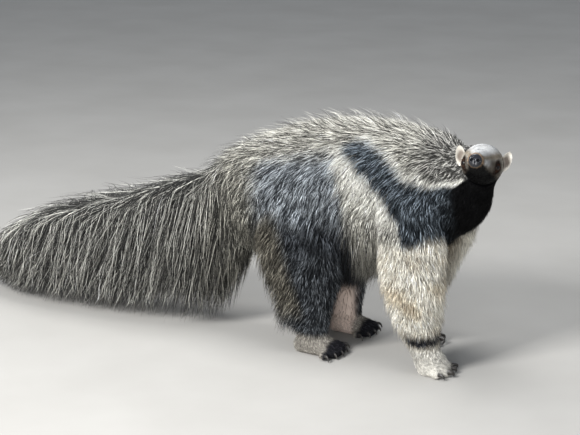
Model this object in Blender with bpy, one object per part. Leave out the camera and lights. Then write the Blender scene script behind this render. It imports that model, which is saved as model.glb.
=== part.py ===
"""A giant anteater at life size, standing with its head turned to its right.

Every part of the body is a tube of rings along a line of stations. A station gives
the middle of its ring, how far the skin reaches from there in four directions, and
how deep the coat is on each side. Units are metres, +X is forward, +Y is the
animal's left and +Z is up. The origin is on the floor, in the middle of the animal.
"""
import math

import bmesh
import bpy
import numpy as np

# Driving dimensions
GAP = 0.0003                # clearance between pieces that touch
ORIGIN = (-0.513, -0.097)   # the floor's middle, in the frame of the station tables
NOSE_TIP = (0.305, -0.345, 0.614)
SNOUT_WAY = (0.284, -0.923, 0.261)      # the way the snout points
HEAD_ROLL = 5.5             # degrees, the left ear low
HEAD_COAT = 0.002
EYE_RADIUS = 0.0085
EYE_BACK = 0.200            # from the nose, along the head
EYE_DROP = 0.005
EYE_OUT = 0.0370            # from the head's middle to the middle of an eye
LID_THICKNESS = 0.0024
EAR_BACK = 0.262
EAR_RADII = (0.025, 0.0125, 0.0095)     # along the ear, across it, front to back
EAR_WALL = 0.0028
EAR_OUT = 0.0545
EAR_RISE = 0.012
NOSTRIL_RADIUS = 0.0032
MOUTH_LENGTH = 0.055
MOUTH_DEPTH = 0.003
CORE_SHARE = 0.45           # how much of the coat's depth lies in a node's core
HEAD_POINTS = 20            # points round a ring of the head, of a coated core and of a leg
CORE_POINTS = 16
LEG_POINTS = 12

# Stations of the body from the tail's tip to the neck: x, y, z, roll in degrees,
# skin up/down/side, coat depth up/down/side, fullness (2 is an ellipse, 4 a box)
BODY_ROWS = (
    (-1.345, 0, 0.070, 0, 0.006, 0.008, 0.006, 0.020, 0.034, 0.018, 2.2),
    (-1.290, 0, 0.105, 0, 0.012, 0.014, 0.012, 0.046, 0.080, 0.044, 2.3),
    (-1.200, 0, 0.150, 0, 0.018, 0.020, 0.018, 0.065, 0.138, 0.088, 2.7),
    (-1.120, 0, 0.190, 0, 0.022, 0.025, 0.022, 0.066, 0.184, 0.108, 3.0),
    (-1.020, 0, 0.225, 0, 0.026, 0.030, 0.027, 0.064, 0.220, 0.122, 3.2),
    (-0.920, 0, 0.250, 0, 0.029, 0.034, 0.030, 0.065, 0.244, 0.126, 3.2),
    (-0.820, 0, 0.275, 0, 0.032, 0.038, 0.034, 0.058, 0.263, 0.118, 3.2),
    (-0.720, 0, 0.315, 0, 0.036, 0.044, 0.038, 0.056, 0.284, 0.104, 3.1),
    (-0.630, 0, 0.345, 0, 0.040, 0.052, 0.043, 0.043, 0.268, 0.086, 2.9),
    (-0.560, 0, 0.370, 0, 0.044, 0.062, 0.052, 0.031, 0.258, 0.060, 2.6),
    (-0.500, 0, 0.395, 0, 0.067, 0.080, 0.072, 0.040, 0.190, 0.036, 2.3),
    (-0.450, 0, 0.400, 0, 0.090, 0.108, 0.094, 0.042, 0.060, 0.034, 2.1),
    (-0.400, 0, 0.400, 0, 0.114, 0.125, 0.108, 0.038, 0.035, 0.034, 2.0),
    (-0.330, 0, 0.405, 0, 0.134, 0.134, 0.116, 0.040, 0.034, 0.034, 2.0),
    (-0.250, 0, 0.415, 0, 0.147, 0.145, 0.118, 0.040, 0.038, 0.034, 2.0),
    (-0.150, 0, 0.425, 0, 0.150, 0.153, 0.117, 0.041, 0.050, 0.034, 2.0),
    (-0.050, 0, 0.432, 0, 0.146, 0.150, 0.113, 0.040, 0.054, 0.031, 2.0),
    (0.020, 0, 0.438, 0, 0.135, 0.135, 0.107, 0.037, 0.042, 0.028, 2.0),
    (0.080, 0, 0.448, 0, 0.119, 0.119, 0.100, 0.033, 0.028, 0.024, 2.0),
    (0.122, -0.010, 0.463, 2, 0.101, 0.116, 0.086, 0.024, 0.024, 0.019, 2.0),
    (0.156, -0.024, 0.484, 4, 0.080, 0.102, 0.068, 0.018, 0.020, 0.013, 2.0),
    (0.185, -0.040, 0.506, 6, 0.066, 0.079, 0.049, 0.012, 0.014, 0.008, 2.0),
    (0.2065, -0.058, 0.524, 8, 0.058, 0.062, 0.046, 0.007, 0.009, 0.004, 2.0),
)
# Stations of the head: back from the nose, skin up/down/side
HEAD_ROWS = (
    (0.290, 0.0500, 0.0520, 0.0480),
    (0.262, 0.0490, 0.0470, 0.0490),
    (0.234, 0.0470, 0.0425, 0.0475),
    (0.204, 0.0425, 0.0370, 0.0415),
    (0.170, 0.0345, 0.0300, 0.0320),
    (0.130, 0.0275, 0.0255, 0.0260),
    (0.088, 0.0230, 0.0216, 0.0220),
    (0.048, 0.0195, 0.0187, 0.0193),
    (0.020, 0.0162, 0.0158, 0.0165),
    (0.006, 0.0138, 0.0135, 0.0142),
    (0.000, 0.0090, 0.0090, 0.0095),
)
# Stations of a leg, from inside the body to the ground: forward of its foot, in or
# out from it, height, skin front/back/side, coat depth front/back/side
FORE_ROWS = (
    (-0.087, 0.045, 0.450, 0.060, 0.060, 0.040, 0.025, 0.035, 0.016),
    (-0.085, 0.030, 0.400, 0.074, 0.074, 0.045, 0.030, 0.040, 0.018),
    (-0.077, 0.020, 0.330, 0.070, 0.062, 0.049, 0.038, 0.044, 0.021),
    (-0.072, 0.015, 0.265, 0.062, 0.055, 0.047, 0.044, 0.048, 0.024),
    (-0.061, 0.009, 0.200, 0.054, 0.048, 0.042, 0.042, 0.045, 0.024),
    (-0.045, 0.005, 0.128, 0.041, 0.038, 0.036, 0.029, 0.036, 0.017),
    (-0.026, 0.002, 0.072, 0.034, 0.032, 0.032, 0.012, 0.014, 0.009),
    (-0.011, 0.000, 0.042, 0.043, 0.036, 0.037, 0.008, 0.010, 0.007),
    (0.000, 0.000, 0.018, 0.048, 0.038, 0.040, 0.004, 0.006, 0.004),
    (0.000, 0.000, -0.006, 0.036, 0.030, 0.032, 0.002, 0.003, 0.002),
)
HIND_ROWS = (
    (-0.105, 0.050, 0.430, 0.090, 0.085, 0.043, 0.025, 0.030, 0.017),
    (-0.085, 0.030, 0.360, 0.104, 0.098, 0.049, 0.034, 0.044, 0.017),
    (-0.066, 0.020, 0.280, 0.092, 0.090, 0.050, 0.034, 0.072, 0.018),
    (-0.046, 0.012, 0.205, 0.074, 0.070, 0.046, 0.032, 0.084, 0.017),
    (-0.028, 0.006, 0.150, 0.052, 0.056, 0.039, 0.024, 0.092, 0.015),
    (-0.018, 0.003, 0.100, 0.038, 0.046, 0.034, 0.014, 0.064, 0.012),
    (-0.018, 0.001, 0.060, 0.036, 0.040, 0.030, 0.009, 0.018, 0.008),
    (-0.020, 0.000, 0.030, 0.038, 0.040, 0.030, 0.008, 0.008, 0.005),
    (-0.022, 0.000, 0.008, 0.030, 0.032, 0.026, 0.003, 0.004, 0.003),
)
# Stations of a hind foot from heel to toes: forward of its middle, height,
# and skin up/down/side
SOLE_ROWS = (
    (-0.068, 0.017, 0.009, 0.010, 0.013),
    (-0.058, 0.020, 0.022, 0.024, 0.025),
    (-0.026, 0.024, 0.030, 0.029, 0.033),
    (0.014, 0.021, 0.024, 0.027, 0.037),
    (0.046, 0.015, 0.017, 0.020, 0.040),
    (0.060, 0.012, 0.010, 0.014, 0.034),
)
# Each leg's rows, the place of its foot, how far forward of that foot the leg is
# rooted compared with the rows, and its side: 1 is the left
LEGS = {
    "fore_leg_right": (FORE_ROWS, (0.114, -0.118), 0.008, -1),
    "fore_leg_left": (FORE_ROWS, (-0.005, 0.085), 0.170, 1),
    "hind_leg_right": (HIND_ROWS, (-0.200, -0.110), 0.0, -1),
    "hind_leg_left": (HIND_ROWS, (-0.196, 0.085), -0.014, 1),
}
UP = np.array((0.0, 0.0, 1.0))
AHEAD = np.array((1.0, 0.0, 0.0))

SIDE_NAME = {1: "left", -1: "right"}
NECK_ROW = 18               # the last station whose ring stands upright
NECK_BEND = (18.0, 21.0)    # stations between which the rings turn with the neck
WRIST = 6.9                 # where paw and leg part, counted along a leg's stations
ANKLE = 5.9
FORE_TOE_SIZES = (0.72, 0.95, 1.20, 0.75)
HIND_TOE_SIZES = (0.85, 1.0, 1.05, 1.0, 0.85)
CLAW_SIDES = 5
# A lock's rings from root to tip: share of the coat's depth, width and thickness
LOCK_SHARES = (0.12, 0.60, 0.86, 1.0)
LOCK_WIDTHS = (0.80, 1.0, 0.72, 0.0)
LOCK_HEIGHTS = (1.0, 1.0, 0.6, 0.0)
TRUNK_LOCK_ROWS = 6
TRUNK_LOCK_STEP = 0.088
TRUNK_LOCKS_FROM = 0.070    # the first row, in the frame of the station tables
TRUNK_GIRTH_RADIUS = 0.17
TAIL_LOCK_ROWS = 8
TAIL_LOCK_STEP = 0.095
TAIL_LOCKS_FROM = -0.475
NECK_LOCK_STATIONS = (20.9, 19.7)
LEG_LOCK_STATIONS = (2.4, 4.0)
LEG_CLEARANCE = 0.005       # between a leg's coat and the locks beside it
RANDOM = np.random.default_rng(3)
# Colour as red, green and blue, and roughness
FINISHES = {
    "pale_coat": ((0.55, 0.52, 0.46), 0.8),
    "dark_coat": ((0.055, 0.055, 0.062), 0.75),
    "bare_skin": ((0.28, 0.23, 0.20), 0.7),
    "bare_nose": ((0.02, 0.02, 0.022), 0.35),
    "eye": ((0.012, 0.008, 0.006), 0.08),
    "claw": ((0.08, 0.075, 0.07), 0.45),
}


def unit(vector):
    """The vector, or each row of an array of them, at length one."""
    return vector / np.linalg.norm(vector, axis=-1, keepdims=True)


def smooth_rows(rows, at):
    """Rows of a table at fractional places, on a cubic curve through its rows."""
    at = np.clip(np.asarray(at, float), 0, len(rows) - 1)
    low = np.minimum(at.astype(int), len(rows) - 2)
    part = (at - low)[..., None]
    padded = np.vstack([2 * rows[0] - rows[1], rows, 2 * rows[-1] - rows[-2]])
    before, start, end, after = (padded[low + k] for k in range(4))
    leave, arrive = (end - before) / 2, (after - start) / 2
    turn = 3 * (end - start) - 2 * leave - arrive
    settle = leave + arrive - 2 * (end - start)
    return start + part * (leave + part * (turn + part * settle))


def head_station(back, up, down, side):
    """One row of the body's table for a ring of the head, back from the nose."""
    middle = np.array(NOSE_TIP) - unit(np.array(SNOUT_WAY)) * back
    return (*middle, HEAD_ROLL, up, down, side, HEAD_COAT, HEAD_COAT, HEAD_COAT, 2.0)


def body_table():
    """The stations of tail, trunk, neck and head as one table."""
    table = np.array(BODY_ROWS + tuple(head_station(*row) for row in HEAD_ROWS))
    table[:, :2] -= ORIGIN
    return table


def leg_table(rows, foot, lead, side):
    """A leg's stations, with its root moved forward of its foot by the lead."""
    rows = np.array(rows)
    height = np.clip(rows[:, 2] / rows[0, 2], 0.0, 1.0)
    table = np.full((len(rows), 11), 2.0)
    table[:, 3] = 0.0
    table[:, 0] = foot[0] + rows[:, 0] + lead * height**2 * (3 - 2 * height)
    table[:, 1] = foot[1] - side * rows[:, 1]
    table[:, 2] = rows[:, 2]
    table[:, 4:10] = rows[:, 3:]
    table[:, :2] -= ORIGIN
    return table


BODY = body_table()
NOSE = len(BODY) - 1.0
LEG_TABLES = {name: leg_table(*row) for name, row in LEGS.items()}
# Stations at which the body is parted, counted along the body's table
TAIL_TIP = 0.0
TAIL_END = 3.5
TAIL_MIDDLE = 6.6
RUMP = 10.3
SKULL = 23.2
NOSE_PAD = NOSE - 2.0
TRUNK_PARTS = {
    "tail_end": (TAIL_TIP - 1.0, TAIL_END),
    "tail_middle": (TAIL_END, TAIL_MIDDLE),
    "tail_base": (TAIL_MIDDLE, RUMP),
    "torso": (RUMP, NECK_ROW),
}
HEAD_PARTS = {
    "neck": (NECK_ROW, SKULL, 9),
    "head": (SKULL, NOSE_PAD, 14),
    "nose": (NOSE_PAD, NOSE, 4),
}


def frame_at(table, at, hint):
    """Middle, way along, way up and way left of the rings at these stations.

    Rings of a leg lie level and those of tail and trunk stand upright. In the neck
    they turn square to the line through their middles, and in the head they stay so.
    """
    step = 0.02
    middle = smooth_rows(table, at)[..., :3]
    path = unit(smooth_rows(table, at + step)[..., :3] - smooth_rows(table, at - step)[..., :3])
    turn = np.clip((at - NECK_BEND[0]) / (NECK_BEND[1] - NECK_BEND[0]), 0.0, 1.0)[..., None]
    turn = turn**2 * (3 - 2 * turn)
    along = unit(AHEAD + turn * (path - AHEAD)) if hint is UP else np.broadcast_to(-UP, path.shape)
    up = unit(hint - (along @ hint)[..., None] * along)
    left = np.cross(up, along)
    roll = np.radians(smooth_rows(table, at)[..., 3:4])
    return middle, along, up * np.cos(roll) + left * np.sin(roll), left * np.cos(roll) - up * np.sin(roll)


def surface(table, hint, at, angle, share, grow=0.0):
    """Points round the rings: angle 0 is up or front and a quarter turn is left.

    Each point is the ring's middle plus up times the cosine and left times the sine,
    both raised to two over the fullness, and scaled by the reach that way: the skin,
    plus this share of the coat, plus grow.
    """
    at, angle = np.broadcast_arrays(np.asarray(at, float), np.asarray(angle, float))
    middle, _, up, left = frame_at(table, at, hint)
    row = smooth_rows(table, at)
    reach = row[..., 4:7] + np.asarray(share)[..., None] * row[..., 7:10] + grow
    power = 2 / row[..., 10]
    rise = np.sign(np.cos(angle)) * np.abs(np.cos(angle)) ** power
    swing = np.sign(np.sin(angle)) * np.abs(np.sin(angle)) ** power
    high = np.where(rise > 0, reach[..., 0], reach[..., 1]) * rise
    wide = reach[..., 2] * swing
    return middle + up * high[..., None] + left * wide[..., None]


def grid_mesh(points):
    """Vertices and triangles of a tube from rings of points, with a face at each end."""
    rings, count = points.shape[:2]
    here = np.arange(rings * count).reshape(rings, count)
    there = np.roll(here, -1, axis=1)
    halves = [[here[:-1], here[1:], there[1:]], [here[:-1], there[1:], there[:-1]]]
    faces = [tuple(face) for half in halves for face in np.stack(half, -1).reshape(-1, 3).tolist()]
    faces += [tuple(here[0].tolist()), tuple(here[-1, ::-1].tolist())]
    return points.reshape(-1, 3), faces


def volume_of(points, faces):
    """Six times the signed volume that the faces enclose."""
    total = 0.0
    for face in faces:
        first = points[face[0]]
        for one, two in zip(face[1:-1], face[2:]):
            total += float(np.dot(first, np.cross(points[one], points[two])))
    return total


def solid(name, points, faces):
    """A mesh object with its faces pointing out."""
    points = np.asarray(points, float)
    if volume_of(points - points.mean(0), faces) < 0:
        faces = [tuple(reversed(face)) for face in faces]
    mesh = bpy.data.meshes.new(name)
    mesh.from_pydata(points.tolist(), [], faces)
    mesh.validate()
    made = bpy.data.objects.new(name, mesh)
    bpy.context.scene.collection.objects.link(made)
    return made


def tube(name, table, hint, start, end, rings, count, share, grow=0.0, pull=(0.0, 0.0)):
    """A closed tube between two stations, its end rings pulled in by so many metres."""
    at = np.linspace(start, end, rings)
    angle = np.linspace(0, 2 * math.pi, count, endpoint=False)
    points = surface(table, hint, at[:, None], angle[None, :], share, grow)
    _, along, _, _ = frame_at(table, at, hint)
    points[0] += along[0] * pull[0]
    points[-1] -= along[-1] * pull[1]
    return solid(name, *grid_mesh(points))


def applied(target):
    """The object with its modifiers made part of its mesh."""
    graph = bpy.context.evaluated_depsgraph_get()
    mesh = bpy.data.meshes.new_from_object(target.evaluated_get(graph))
    old = target.data
    target.modifiers.clear()
    target.data = mesh
    bpy.data.meshes.remove(old)
    return target


def boolean(target, others, operation, solver="EXACT"):
    """Joins or cuts the target with a collection of closed objects, then removes them."""
    if not others:
        return target
    group = bpy.data.collections.new("pieces")
    bpy.context.scene.collection.children.link(group)
    for other in others:
        bpy.context.scene.collection.objects.unlink(other)
        group.objects.link(other)
    modifier = target.modifiers.new(operation.lower(), "BOOLEAN")
    modifier.operation = operation
    modifier.operand_type = "COLLECTION"
    modifier.collection = group
    modifier.solver = solver
    applied(target)
    for other in others:
        bpy.data.objects.remove(other)
    bpy.data.collections.remove(group)
    return target


def keep_largest(target):
    """Drops every closed surface of the mesh but the one that holds the most."""
    shape = bmesh.new()
    shape.from_mesh(target.data)
    unseen = set(shape.verts)
    islands = []
    while unseen:
        island = {unseen.pop()}
        edge_of = list(island)
        while edge_of:
            near = {e.other_vert(v) for v in edge_of for e in v.link_edges} & unseen
            unseen -= near
            island |= near
            edge_of = list(near)
        islands.append(island)

    def size(island):
        places = np.array([vertex.co for vertex in island])
        return float(np.prod(np.ptp(places, axis=0)))

    best = max(islands, key=size)
    loose = [vertex for vertex in shape.verts if vertex not in best]
    bmesh.ops.delete(shape, geom=loose, context="VERTS")
    shape.to_mesh(target.data)
    shape.free()
    return target


def station_at(x):
    """The station of tail or trunk whose ring stands at this place along X."""
    return np.interp(x, BODY[:NECK_ROW + 1, 0], np.arange(NECK_ROW + 1))


def lock_points(table, hint, start, end, width, thick):
    """Corners of flat, tapered locks that bend out of the core and lie down.

    A lock runs from its start to its end, each a station and an angle. On the way it
    climbs from LOCK_SHARES' first share of the coat's depth to its last. Across it is
    a low triangle, flat beneath, that narrows to a point at the tip.
    """
    part = np.linspace(0.0, 1.0, len(LOCK_SHARES))
    start, end = np.asarray(start)[:, None, :], np.asarray(end)[:, None, :]
    place = start + (end - start) * part[None, :, None]
    at, angle = place[..., 0], place[..., 1]
    shares = np.broadcast_to(np.array(LOCK_SHARES), at.shape)
    half = (np.array(LOCK_WIDTHS) * np.asarray(width)[:, None] / 2)[..., None]
    high = (np.array(LOCK_HEIGHTS) * np.asarray(thick)[:, None])[..., None]
    ridge = surface(table, hint, at, angle, shares)
    outward = unit(surface(table, hint, at, angle, shares + 0.5) - ridge)
    along = unit(np.gradient(ridge, axis=1))
    side = unit(np.cross(along, outward))
    under = ridge - np.cross(side, along) * high
    return np.stack([under - side * half, ridge, under + side * half], 2)


def locks(table, hint, start, end, width, thick):
    """Closed locks as objects, each ring three corners and the tip one point."""
    made = []
    for rings in lock_points(table, hint, start, end, width, thick):
        body = rings[:-1].reshape(-1, 3)
        tip = rings[-1].mean(0)
        faces = grid_mesh(rings[:-1])[1][:-1]
        last = len(body) - 3
        faces += [(last + (k + 1) % 3, last + k, last + 3) for k in range(3)]
        made.append(solid("lock", np.vstack([body, tip]), faces))
    return made


def varied(count, low, high):
    """Seeded draws between two values."""
    return RANDOM.uniform(low, high, count)


def trunk_locks():
    """Locks of the trunk: back along the spine, and ever more down the flanks."""
    start, end, width = [], [], []
    for row in range(TRUNK_LOCK_ROWS):
        x = TRUNK_LOCKS_FROM - ORIGIN[0] - row * TRUNK_LOCK_STEP
        angles = np.radians(np.linspace(-134, 134, 9) + (15 if row % 2 else -15))
        x = x + varied(len(angles), -0.015, 0.015)
        flank = np.abs(np.sin(angles / 2))
        lean = np.radians(8 + 85 * flank)
        length = (0.125 + 0.045 * flank) * varied(len(angles), 0.88, 1.12)
        turn = np.sign(angles) * length * np.sin(lean) / TRUNK_GIRTH_RADIUS
        last = np.clip(angles + turn, -math.radians(174), math.radians(174))
        start.append(np.stack([station_at(x), angles], 1))
        end.append(np.stack([station_at(x - length * np.cos(lean)), last], 1))
        width.append((0.084 + 0.012 * flank) * varied(len(angles), 0.9, 1.1))
    width = np.concatenate(width)
    return locks(BODY, UP, np.vstack(start), np.vstack(end), width, 0.14 * width)


def tail_locks():
    """Long locks of the tail that sweep back and hang to the floor on each side."""
    start, end, width = [], [], []
    for row in range(TAIL_LOCK_ROWS):
        x = TAIL_LOCKS_FROM - ORIGIN[0] - row * TAIL_LOCK_STEP
        first = np.radians(np.array((-105, -62, -20, 20, 62, 105)))
        first = first + math.radians(6 if row % 2 else -6)
        hang = np.radians(np.array((-162, -138, -95, 95, 138, 162)))
        x = x + varied(len(first), -0.018, 0.018)
        sweep = np.array((0.05, 0.09, 0.14, 0.14, 0.09, 0.05)) * varied(len(first), 0.8, 1.2)
        start.append(np.stack([station_at(x), first], 1))
        end.append(np.stack([station_at(x - sweep), hang + varied(len(first), -0.07, 0.07)], 1))
        width.append(0.096 * varied(len(first), 0.88, 1.12))
    width = np.concatenate(width)
    return locks(BODY, UP, np.vstack(start), np.vstack(end), width, 0.15 * width)


def tail_tip_locks():
    """A fan of locks that ends the tail."""
    angles = np.radians(np.arange(-180, 180, 60) + 10.0)
    start = np.stack([np.full(len(angles), 1.6), angles], 1)
    end = np.stack([np.full(len(angles), 0.0), angles], 1)
    width = 0.070 * varied(len(angles), 0.9, 1.1)
    return locks(BODY, UP, start, end, width, 0.15 * width)


def neck_locks():
    """Short locks from the back of the head to the shoulders, lying back."""
    start, end = [], []
    for row, at in enumerate(NECK_LOCK_STATIONS):
        angles = np.radians(np.linspace(-150, 150, 6) + (15 if row % 2 else -15))
        start.append(np.stack([at + varied(len(angles), -0.1, 0.1), angles], 1))
        end.append(np.stack([at - 1.3 + varied(len(angles), -0.15, 0.15), angles * 1.06], 1))
    start, end = np.vstack(start), np.vstack(end)
    width = 0.070 * varied(len(start), 0.9, 1.1)
    return locks(BODY, UP, start, end, width, 0.12 * width)


def leg_locks(name):
    """Locks of a leg that hang down all round it."""
    start, end = [], []
    last_row = (WRIST if name.startswith("fore") else ANKLE) - 0.25
    for row, at in enumerate(LEG_LOCK_STATIONS):
        angles = np.radians(np.arange(0, 360, 60) + (30 if row % 2 else 0))
        start.append(np.stack([at + varied(len(angles), -0.1, 0.1), angles], 1))
        down = np.minimum(at + 2.0 + varied(len(angles), -0.2, 0.2), last_row)
        end.append(np.stack([down, angles], 1))
    start, end = np.vstack(start), np.vstack(end)
    width = 0.072 * varied(len(start), 0.9, 1.1)
    return locks(LEG_TABLES[name], AHEAD, start, end, width, 0.12 * width)


def box(name, low, high):
    """A box between two corners."""
    shape = bmesh.new()
    bmesh.ops.create_cube(shape, size=1.0)
    for vertex in shape.verts:
        corner = (vertex.co[k] > 0 for k in range(3))
        vertex.co = [high[k] if is_high else low[k] for k, is_high in enumerate(corner)]
    mesh = bpy.data.meshes.new(name)
    shape.to_mesh(mesh)
    shape.free()
    made = bpy.data.objects.new(name, mesh)
    bpy.context.scene.collection.objects.link(made)
    return made


def below_floor():
    """Everything under the floor, to cut flats on what rests on it."""
    return box("below_floor", (-3.0, -3.0, -1.0), (3.0, 3.0, 0.0))


def ball(name, middle, radii, axes=None, segments=16, rings=10):
    """An ellipsoid with its three radii along the given axes."""
    axes = np.eye(3) if axes is None else np.array(axes)
    rise = np.linspace(0, math.pi, rings + 1)[1:-1]
    turn = np.linspace(0, 2 * math.pi, segments, endpoint=False)
    ring = np.stack(
        [
            np.cos(rise)[:, None] * np.ones(segments),
            np.sin(rise)[:, None] * np.cos(turn),
            np.sin(rise)[:, None] * np.sin(turn),
        ],
        -1,
    ).reshape(-1, 3)
    points = np.vstack([ring, [[1, 0, 0]], [[-1, 0, 0]]]) * np.array(radii)
    faces = []
    rows = rings - 1
    for k in range(segments):
        after = (k + 1) % segments
        for row in range(rows - 1):
            low, high = row * segments, (row + 1) * segments
            faces.append((low + k, high + k, high + after, low + after))
        faces.append((rows * segments, k, after))
        faces.append((rows * segments + 1, (rows - 1) * segments + after, (rows - 1) * segments + k))
    return solid(name, points @ axes + np.array(middle), faces)


def material(name, colour, roughness):
    """A plain finish: colour as red, green and blue, and roughness."""
    made = bpy.data.materials.new(name)
    made.use_nodes = True
    shader = made.node_tree.nodes["Principled BSDF"]
    shader.inputs["Base Color"].default_value = (*colour, 1.0)
    shader.inputs["Roughness"].default_value = roughness
    shader.inputs["Metallic"].default_value = 0.0
    return made


def copy_of(made, name):
    """A second object with its own copy of the mesh."""
    other = bpy.data.objects.new(name, made.data.copy())
    bpy.context.scene.collection.objects.link(other)
    return other


def trunk_core(grow=0.0):
    """The core of tail and trunk, from the tail's tip to the neck."""
    pull = (0.0, GAP / 2) if grow == 0.0 else (-grow, -grow)
    return tube("core", BODY, UP, TAIL_TIP, NECK_ROW, 23, CORE_POINTS, CORE_SHARE, grow, pull)


def neck_core(grow=0.0):
    """The core of the neck, a little short of trunk and head."""
    pull = (GAP / 2, 1.5 * GAP) if grow == 0.0 else (-grow, -grow)
    return tube("neck", BODY, UP, *HEAD_PARTS["neck"], CORE_POINTS, CORE_SHARE, grow, pull)


def leg_space(name):
    """The whole room that a leg takes with its coat, to trim the locks beside it."""
    end = WRIST if name.startswith("fore") else ANKLE
    return tube("space", LEG_TABLES[name], AHEAD, 0.0, end, 15, LEG_POINTS, 1.0, LEG_CLEARANCE)


def coated(core, pieces, spaces):
    """A core with its locks, which are first trimmed clear of other parts' room."""
    coat = pieces[0]
    boolean(coat, pieces[1:], "UNION", "MANIFOLD")
    boolean(coat, spaces, "DIFFERENCE", "MANIFOLD")
    return keep_largest(boolean(core, [coat], "UNION", "MANIFOLD"))


def trunk():
    """Tail and torso: one coated body, parted with thin cuts."""
    pieces = trunk_locks() + tail_locks() + tail_tip_locks()
    whole = coated(trunk_core(), pieces, [leg_space(name) for name in LEGS])
    boolean(whole, [below_floor()], "DIFFERENCE", "MANIFOLD")
    parts = {}
    for name, (start, end) in TRUNK_PARTS.items():
        low = smooth_rows(BODY, start)[0] + GAP / 2 if start > 0 else -3.0
        high = smooth_rows(BODY, end)[0] - GAP / 2
        length = box("length", (low, -1.0, -1.0), (high, 1.0, 1.0))
        made = copy_of(whole, name)
        parts[name] = keep_largest(boolean(made, [length], "INTERSECT", "MANIFOLD"))
    bpy.data.objects.remove(whole)
    return parts


def neck():
    """The coated neck, cut off square where the torso starts and clear of the head."""
    made = coated(neck_core(), neck_locks(), [leg_space(name) for name in LEGS])
    high = smooth_rows(BODY, NECK_ROW)[0] + GAP / 2
    cutters = [box("torso_side", (-3.0, -1.0, -1.0), (high, 1.0, 2.0)), head_part("head", GAP)]
    return keep_largest(boolean(made, cutters, "DIFFERENCE", "MANIFOLD"))


def head_part(name, grow=0.0):
    """The head or the nose: a length of the table with flat ends."""
    start, end, rings = HEAD_PARTS[name]
    pull = (GAP / 2, 0.0 if end == NOSE else GAP / 2) if grow == 0.0 else (-grow, -grow)
    return tube(name, BODY, UP, start, end, rings, HEAD_POINTS, 1.0, grow, pull)


def head_place(back, out, rise):
    """A place on the head: back from the nose, out to the left and up."""
    at = np.interp(-back, [-row[0] for row in HEAD_ROWS], np.arange(len(HEAD_ROWS)) + len(BODY_ROWS))
    middle, along, up, left = (part[0] for part in frame_at(BODY, np.array([at]), UP))
    return middle + left * out + up * rise, along, up, left


def eye_axes(side):
    """Middle of an eye, the way it looks, the way along the head, and up."""
    middle, along, up, left = head_place(EYE_BACK, side * EYE_OUT, -EYE_DROP)
    look = unit(left * side * 0.84 + along * 0.54)
    return middle, look, np.cross(look, up) * side, up


def eye(side, grow=0.0):
    """One eyeball: 1 is the left."""
    middle, look, across, up = eye_axes(side)
    return ball("eye_" + SIDE_NAME[side], middle, (EYE_RADIUS + grow,) * 3, (look, across, up), 12, 7)


def eyelids(side):
    """A rim round the eye: a ball a little larger, with its front cut open."""
    middle, look, across, up = eye_axes(side)
    radius = EYE_RADIUS + LID_THICKNESS
    lid = ball("lid", middle, (radius, radius * 1.3, radius), (look, across, up), 12, 8)
    slit = ball("slit", middle + look * EYE_RADIUS, (0.0072, 0.0092, 0.0066), (look, across, up), 10, 6)
    return boolean(lid, [slit], "DIFFERENCE")


def ear(side):
    """A cupped ear that stands up and opens forward, its inner edge in the head."""
    middle, along, up, left = head_place(EAR_BACK, side * EAR_OUT, EAR_RISE)
    out = left * side
    reach = unit(up + out * 0.18 - along * 0.20)
    front = unit(along + out * 0.35 - reach * ((along + out * 0.35) @ reach))
    axes = (reach, np.cross(reach, front), front)
    long, wide, deep = EAR_RADII
    shell = ball("ear_" + SIDE_NAME[side], middle, EAR_RADII, axes, 12, 8)
    hollow = (long - EAR_WALL, wide - EAR_WALL, deep)
    cup = ball("cup", middle + front * (deep * 0.55) + reach * 0.001, hollow, axes, 10, 7)
    return boolean(shell, [cup], "DIFFERENCE")


def mouth_cutter():
    """A groove round the end of the snout that leaves the mouth's line and two lips."""
    middle, along, up, left = head_place(MOUTH_LENGTH / 2, 0.0, -0.0072)
    slab = box("mouth", (-MOUTH_LENGTH / 2, -0.04, -0.0008), (MOUTH_LENGTH / 2 + 0.02, 0.04, 0.0008))
    turned = np.array((along, left, up))
    for vertex in slab.data.vertices:
        vertex.co = middle + np.array(vertex.co) @ turned
    inside = tube("inside", BODY, UP, NOSE - 6.0, NOSE - 0.2, 16, HEAD_POINTS, 1.0, -MOUTH_DEPTH)
    return boolean(slab, [inside], "DIFFERENCE")


def nostril(side):
    """A round hole in the nose pad."""
    middle, along, up, left = head_place(0.0015, side * 0.0058, 0.0015)
    way = unit(along + left * side * 0.35)
    across = unit(np.cross(up, way))
    radii = (0.0060, NOSTRIL_RADIUS * 0.8, NOSTRIL_RADIUS)
    return ball("nostril", middle, radii, (way, across, np.cross(way, across)), 10, 6)


def claw(name, root, middle, tip, radius, grow=0.0):
    """A tapered horn along a bend of three points, deeper than it is wide."""
    part = np.linspace(0.0, 1.0, 4)[:, None]
    root, middle, tip = (np.array(point, float) for point in (root, middle, tip))
    path = root * (1 - part) ** 2 + middle * 2 * part * (1 - part) + tip * part**2
    along = unit(np.gradient(path, axis=0))
    side = unit(np.cross(UP, along))
    top = np.cross(along, side)
    size = (radius * (1 - part) ** 0.7 * (1 + 0.1 * part) + 0.0006 + grow)[:, None, :]
    angle = np.linspace(0, 2 * math.pi, CLAW_SIDES, endpoint=False)[None, :, None]
    round_it = top[:, None] * np.cos(angle) * 1.15 + side[:, None] * np.sin(angle) * 0.8
    points = path[:, None] + size * round_it
    return solid(name, *grid_mesh(points))


def paw_toes(table, front, spread, width, count, back, size):
    """Middles and ways of the toes in a fan across the front of a paw."""
    middle = table[-1, :3]
    for k in range(count):
        turn = math.radians(spread) * (k - (count - 1) / 2)
        way = np.array((math.cos(turn), math.sin(turn), 0.0))
        place = middle + way * front + np.array((-back, width * (k - (count - 1) / 2), size))
        yield k, place, way


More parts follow.
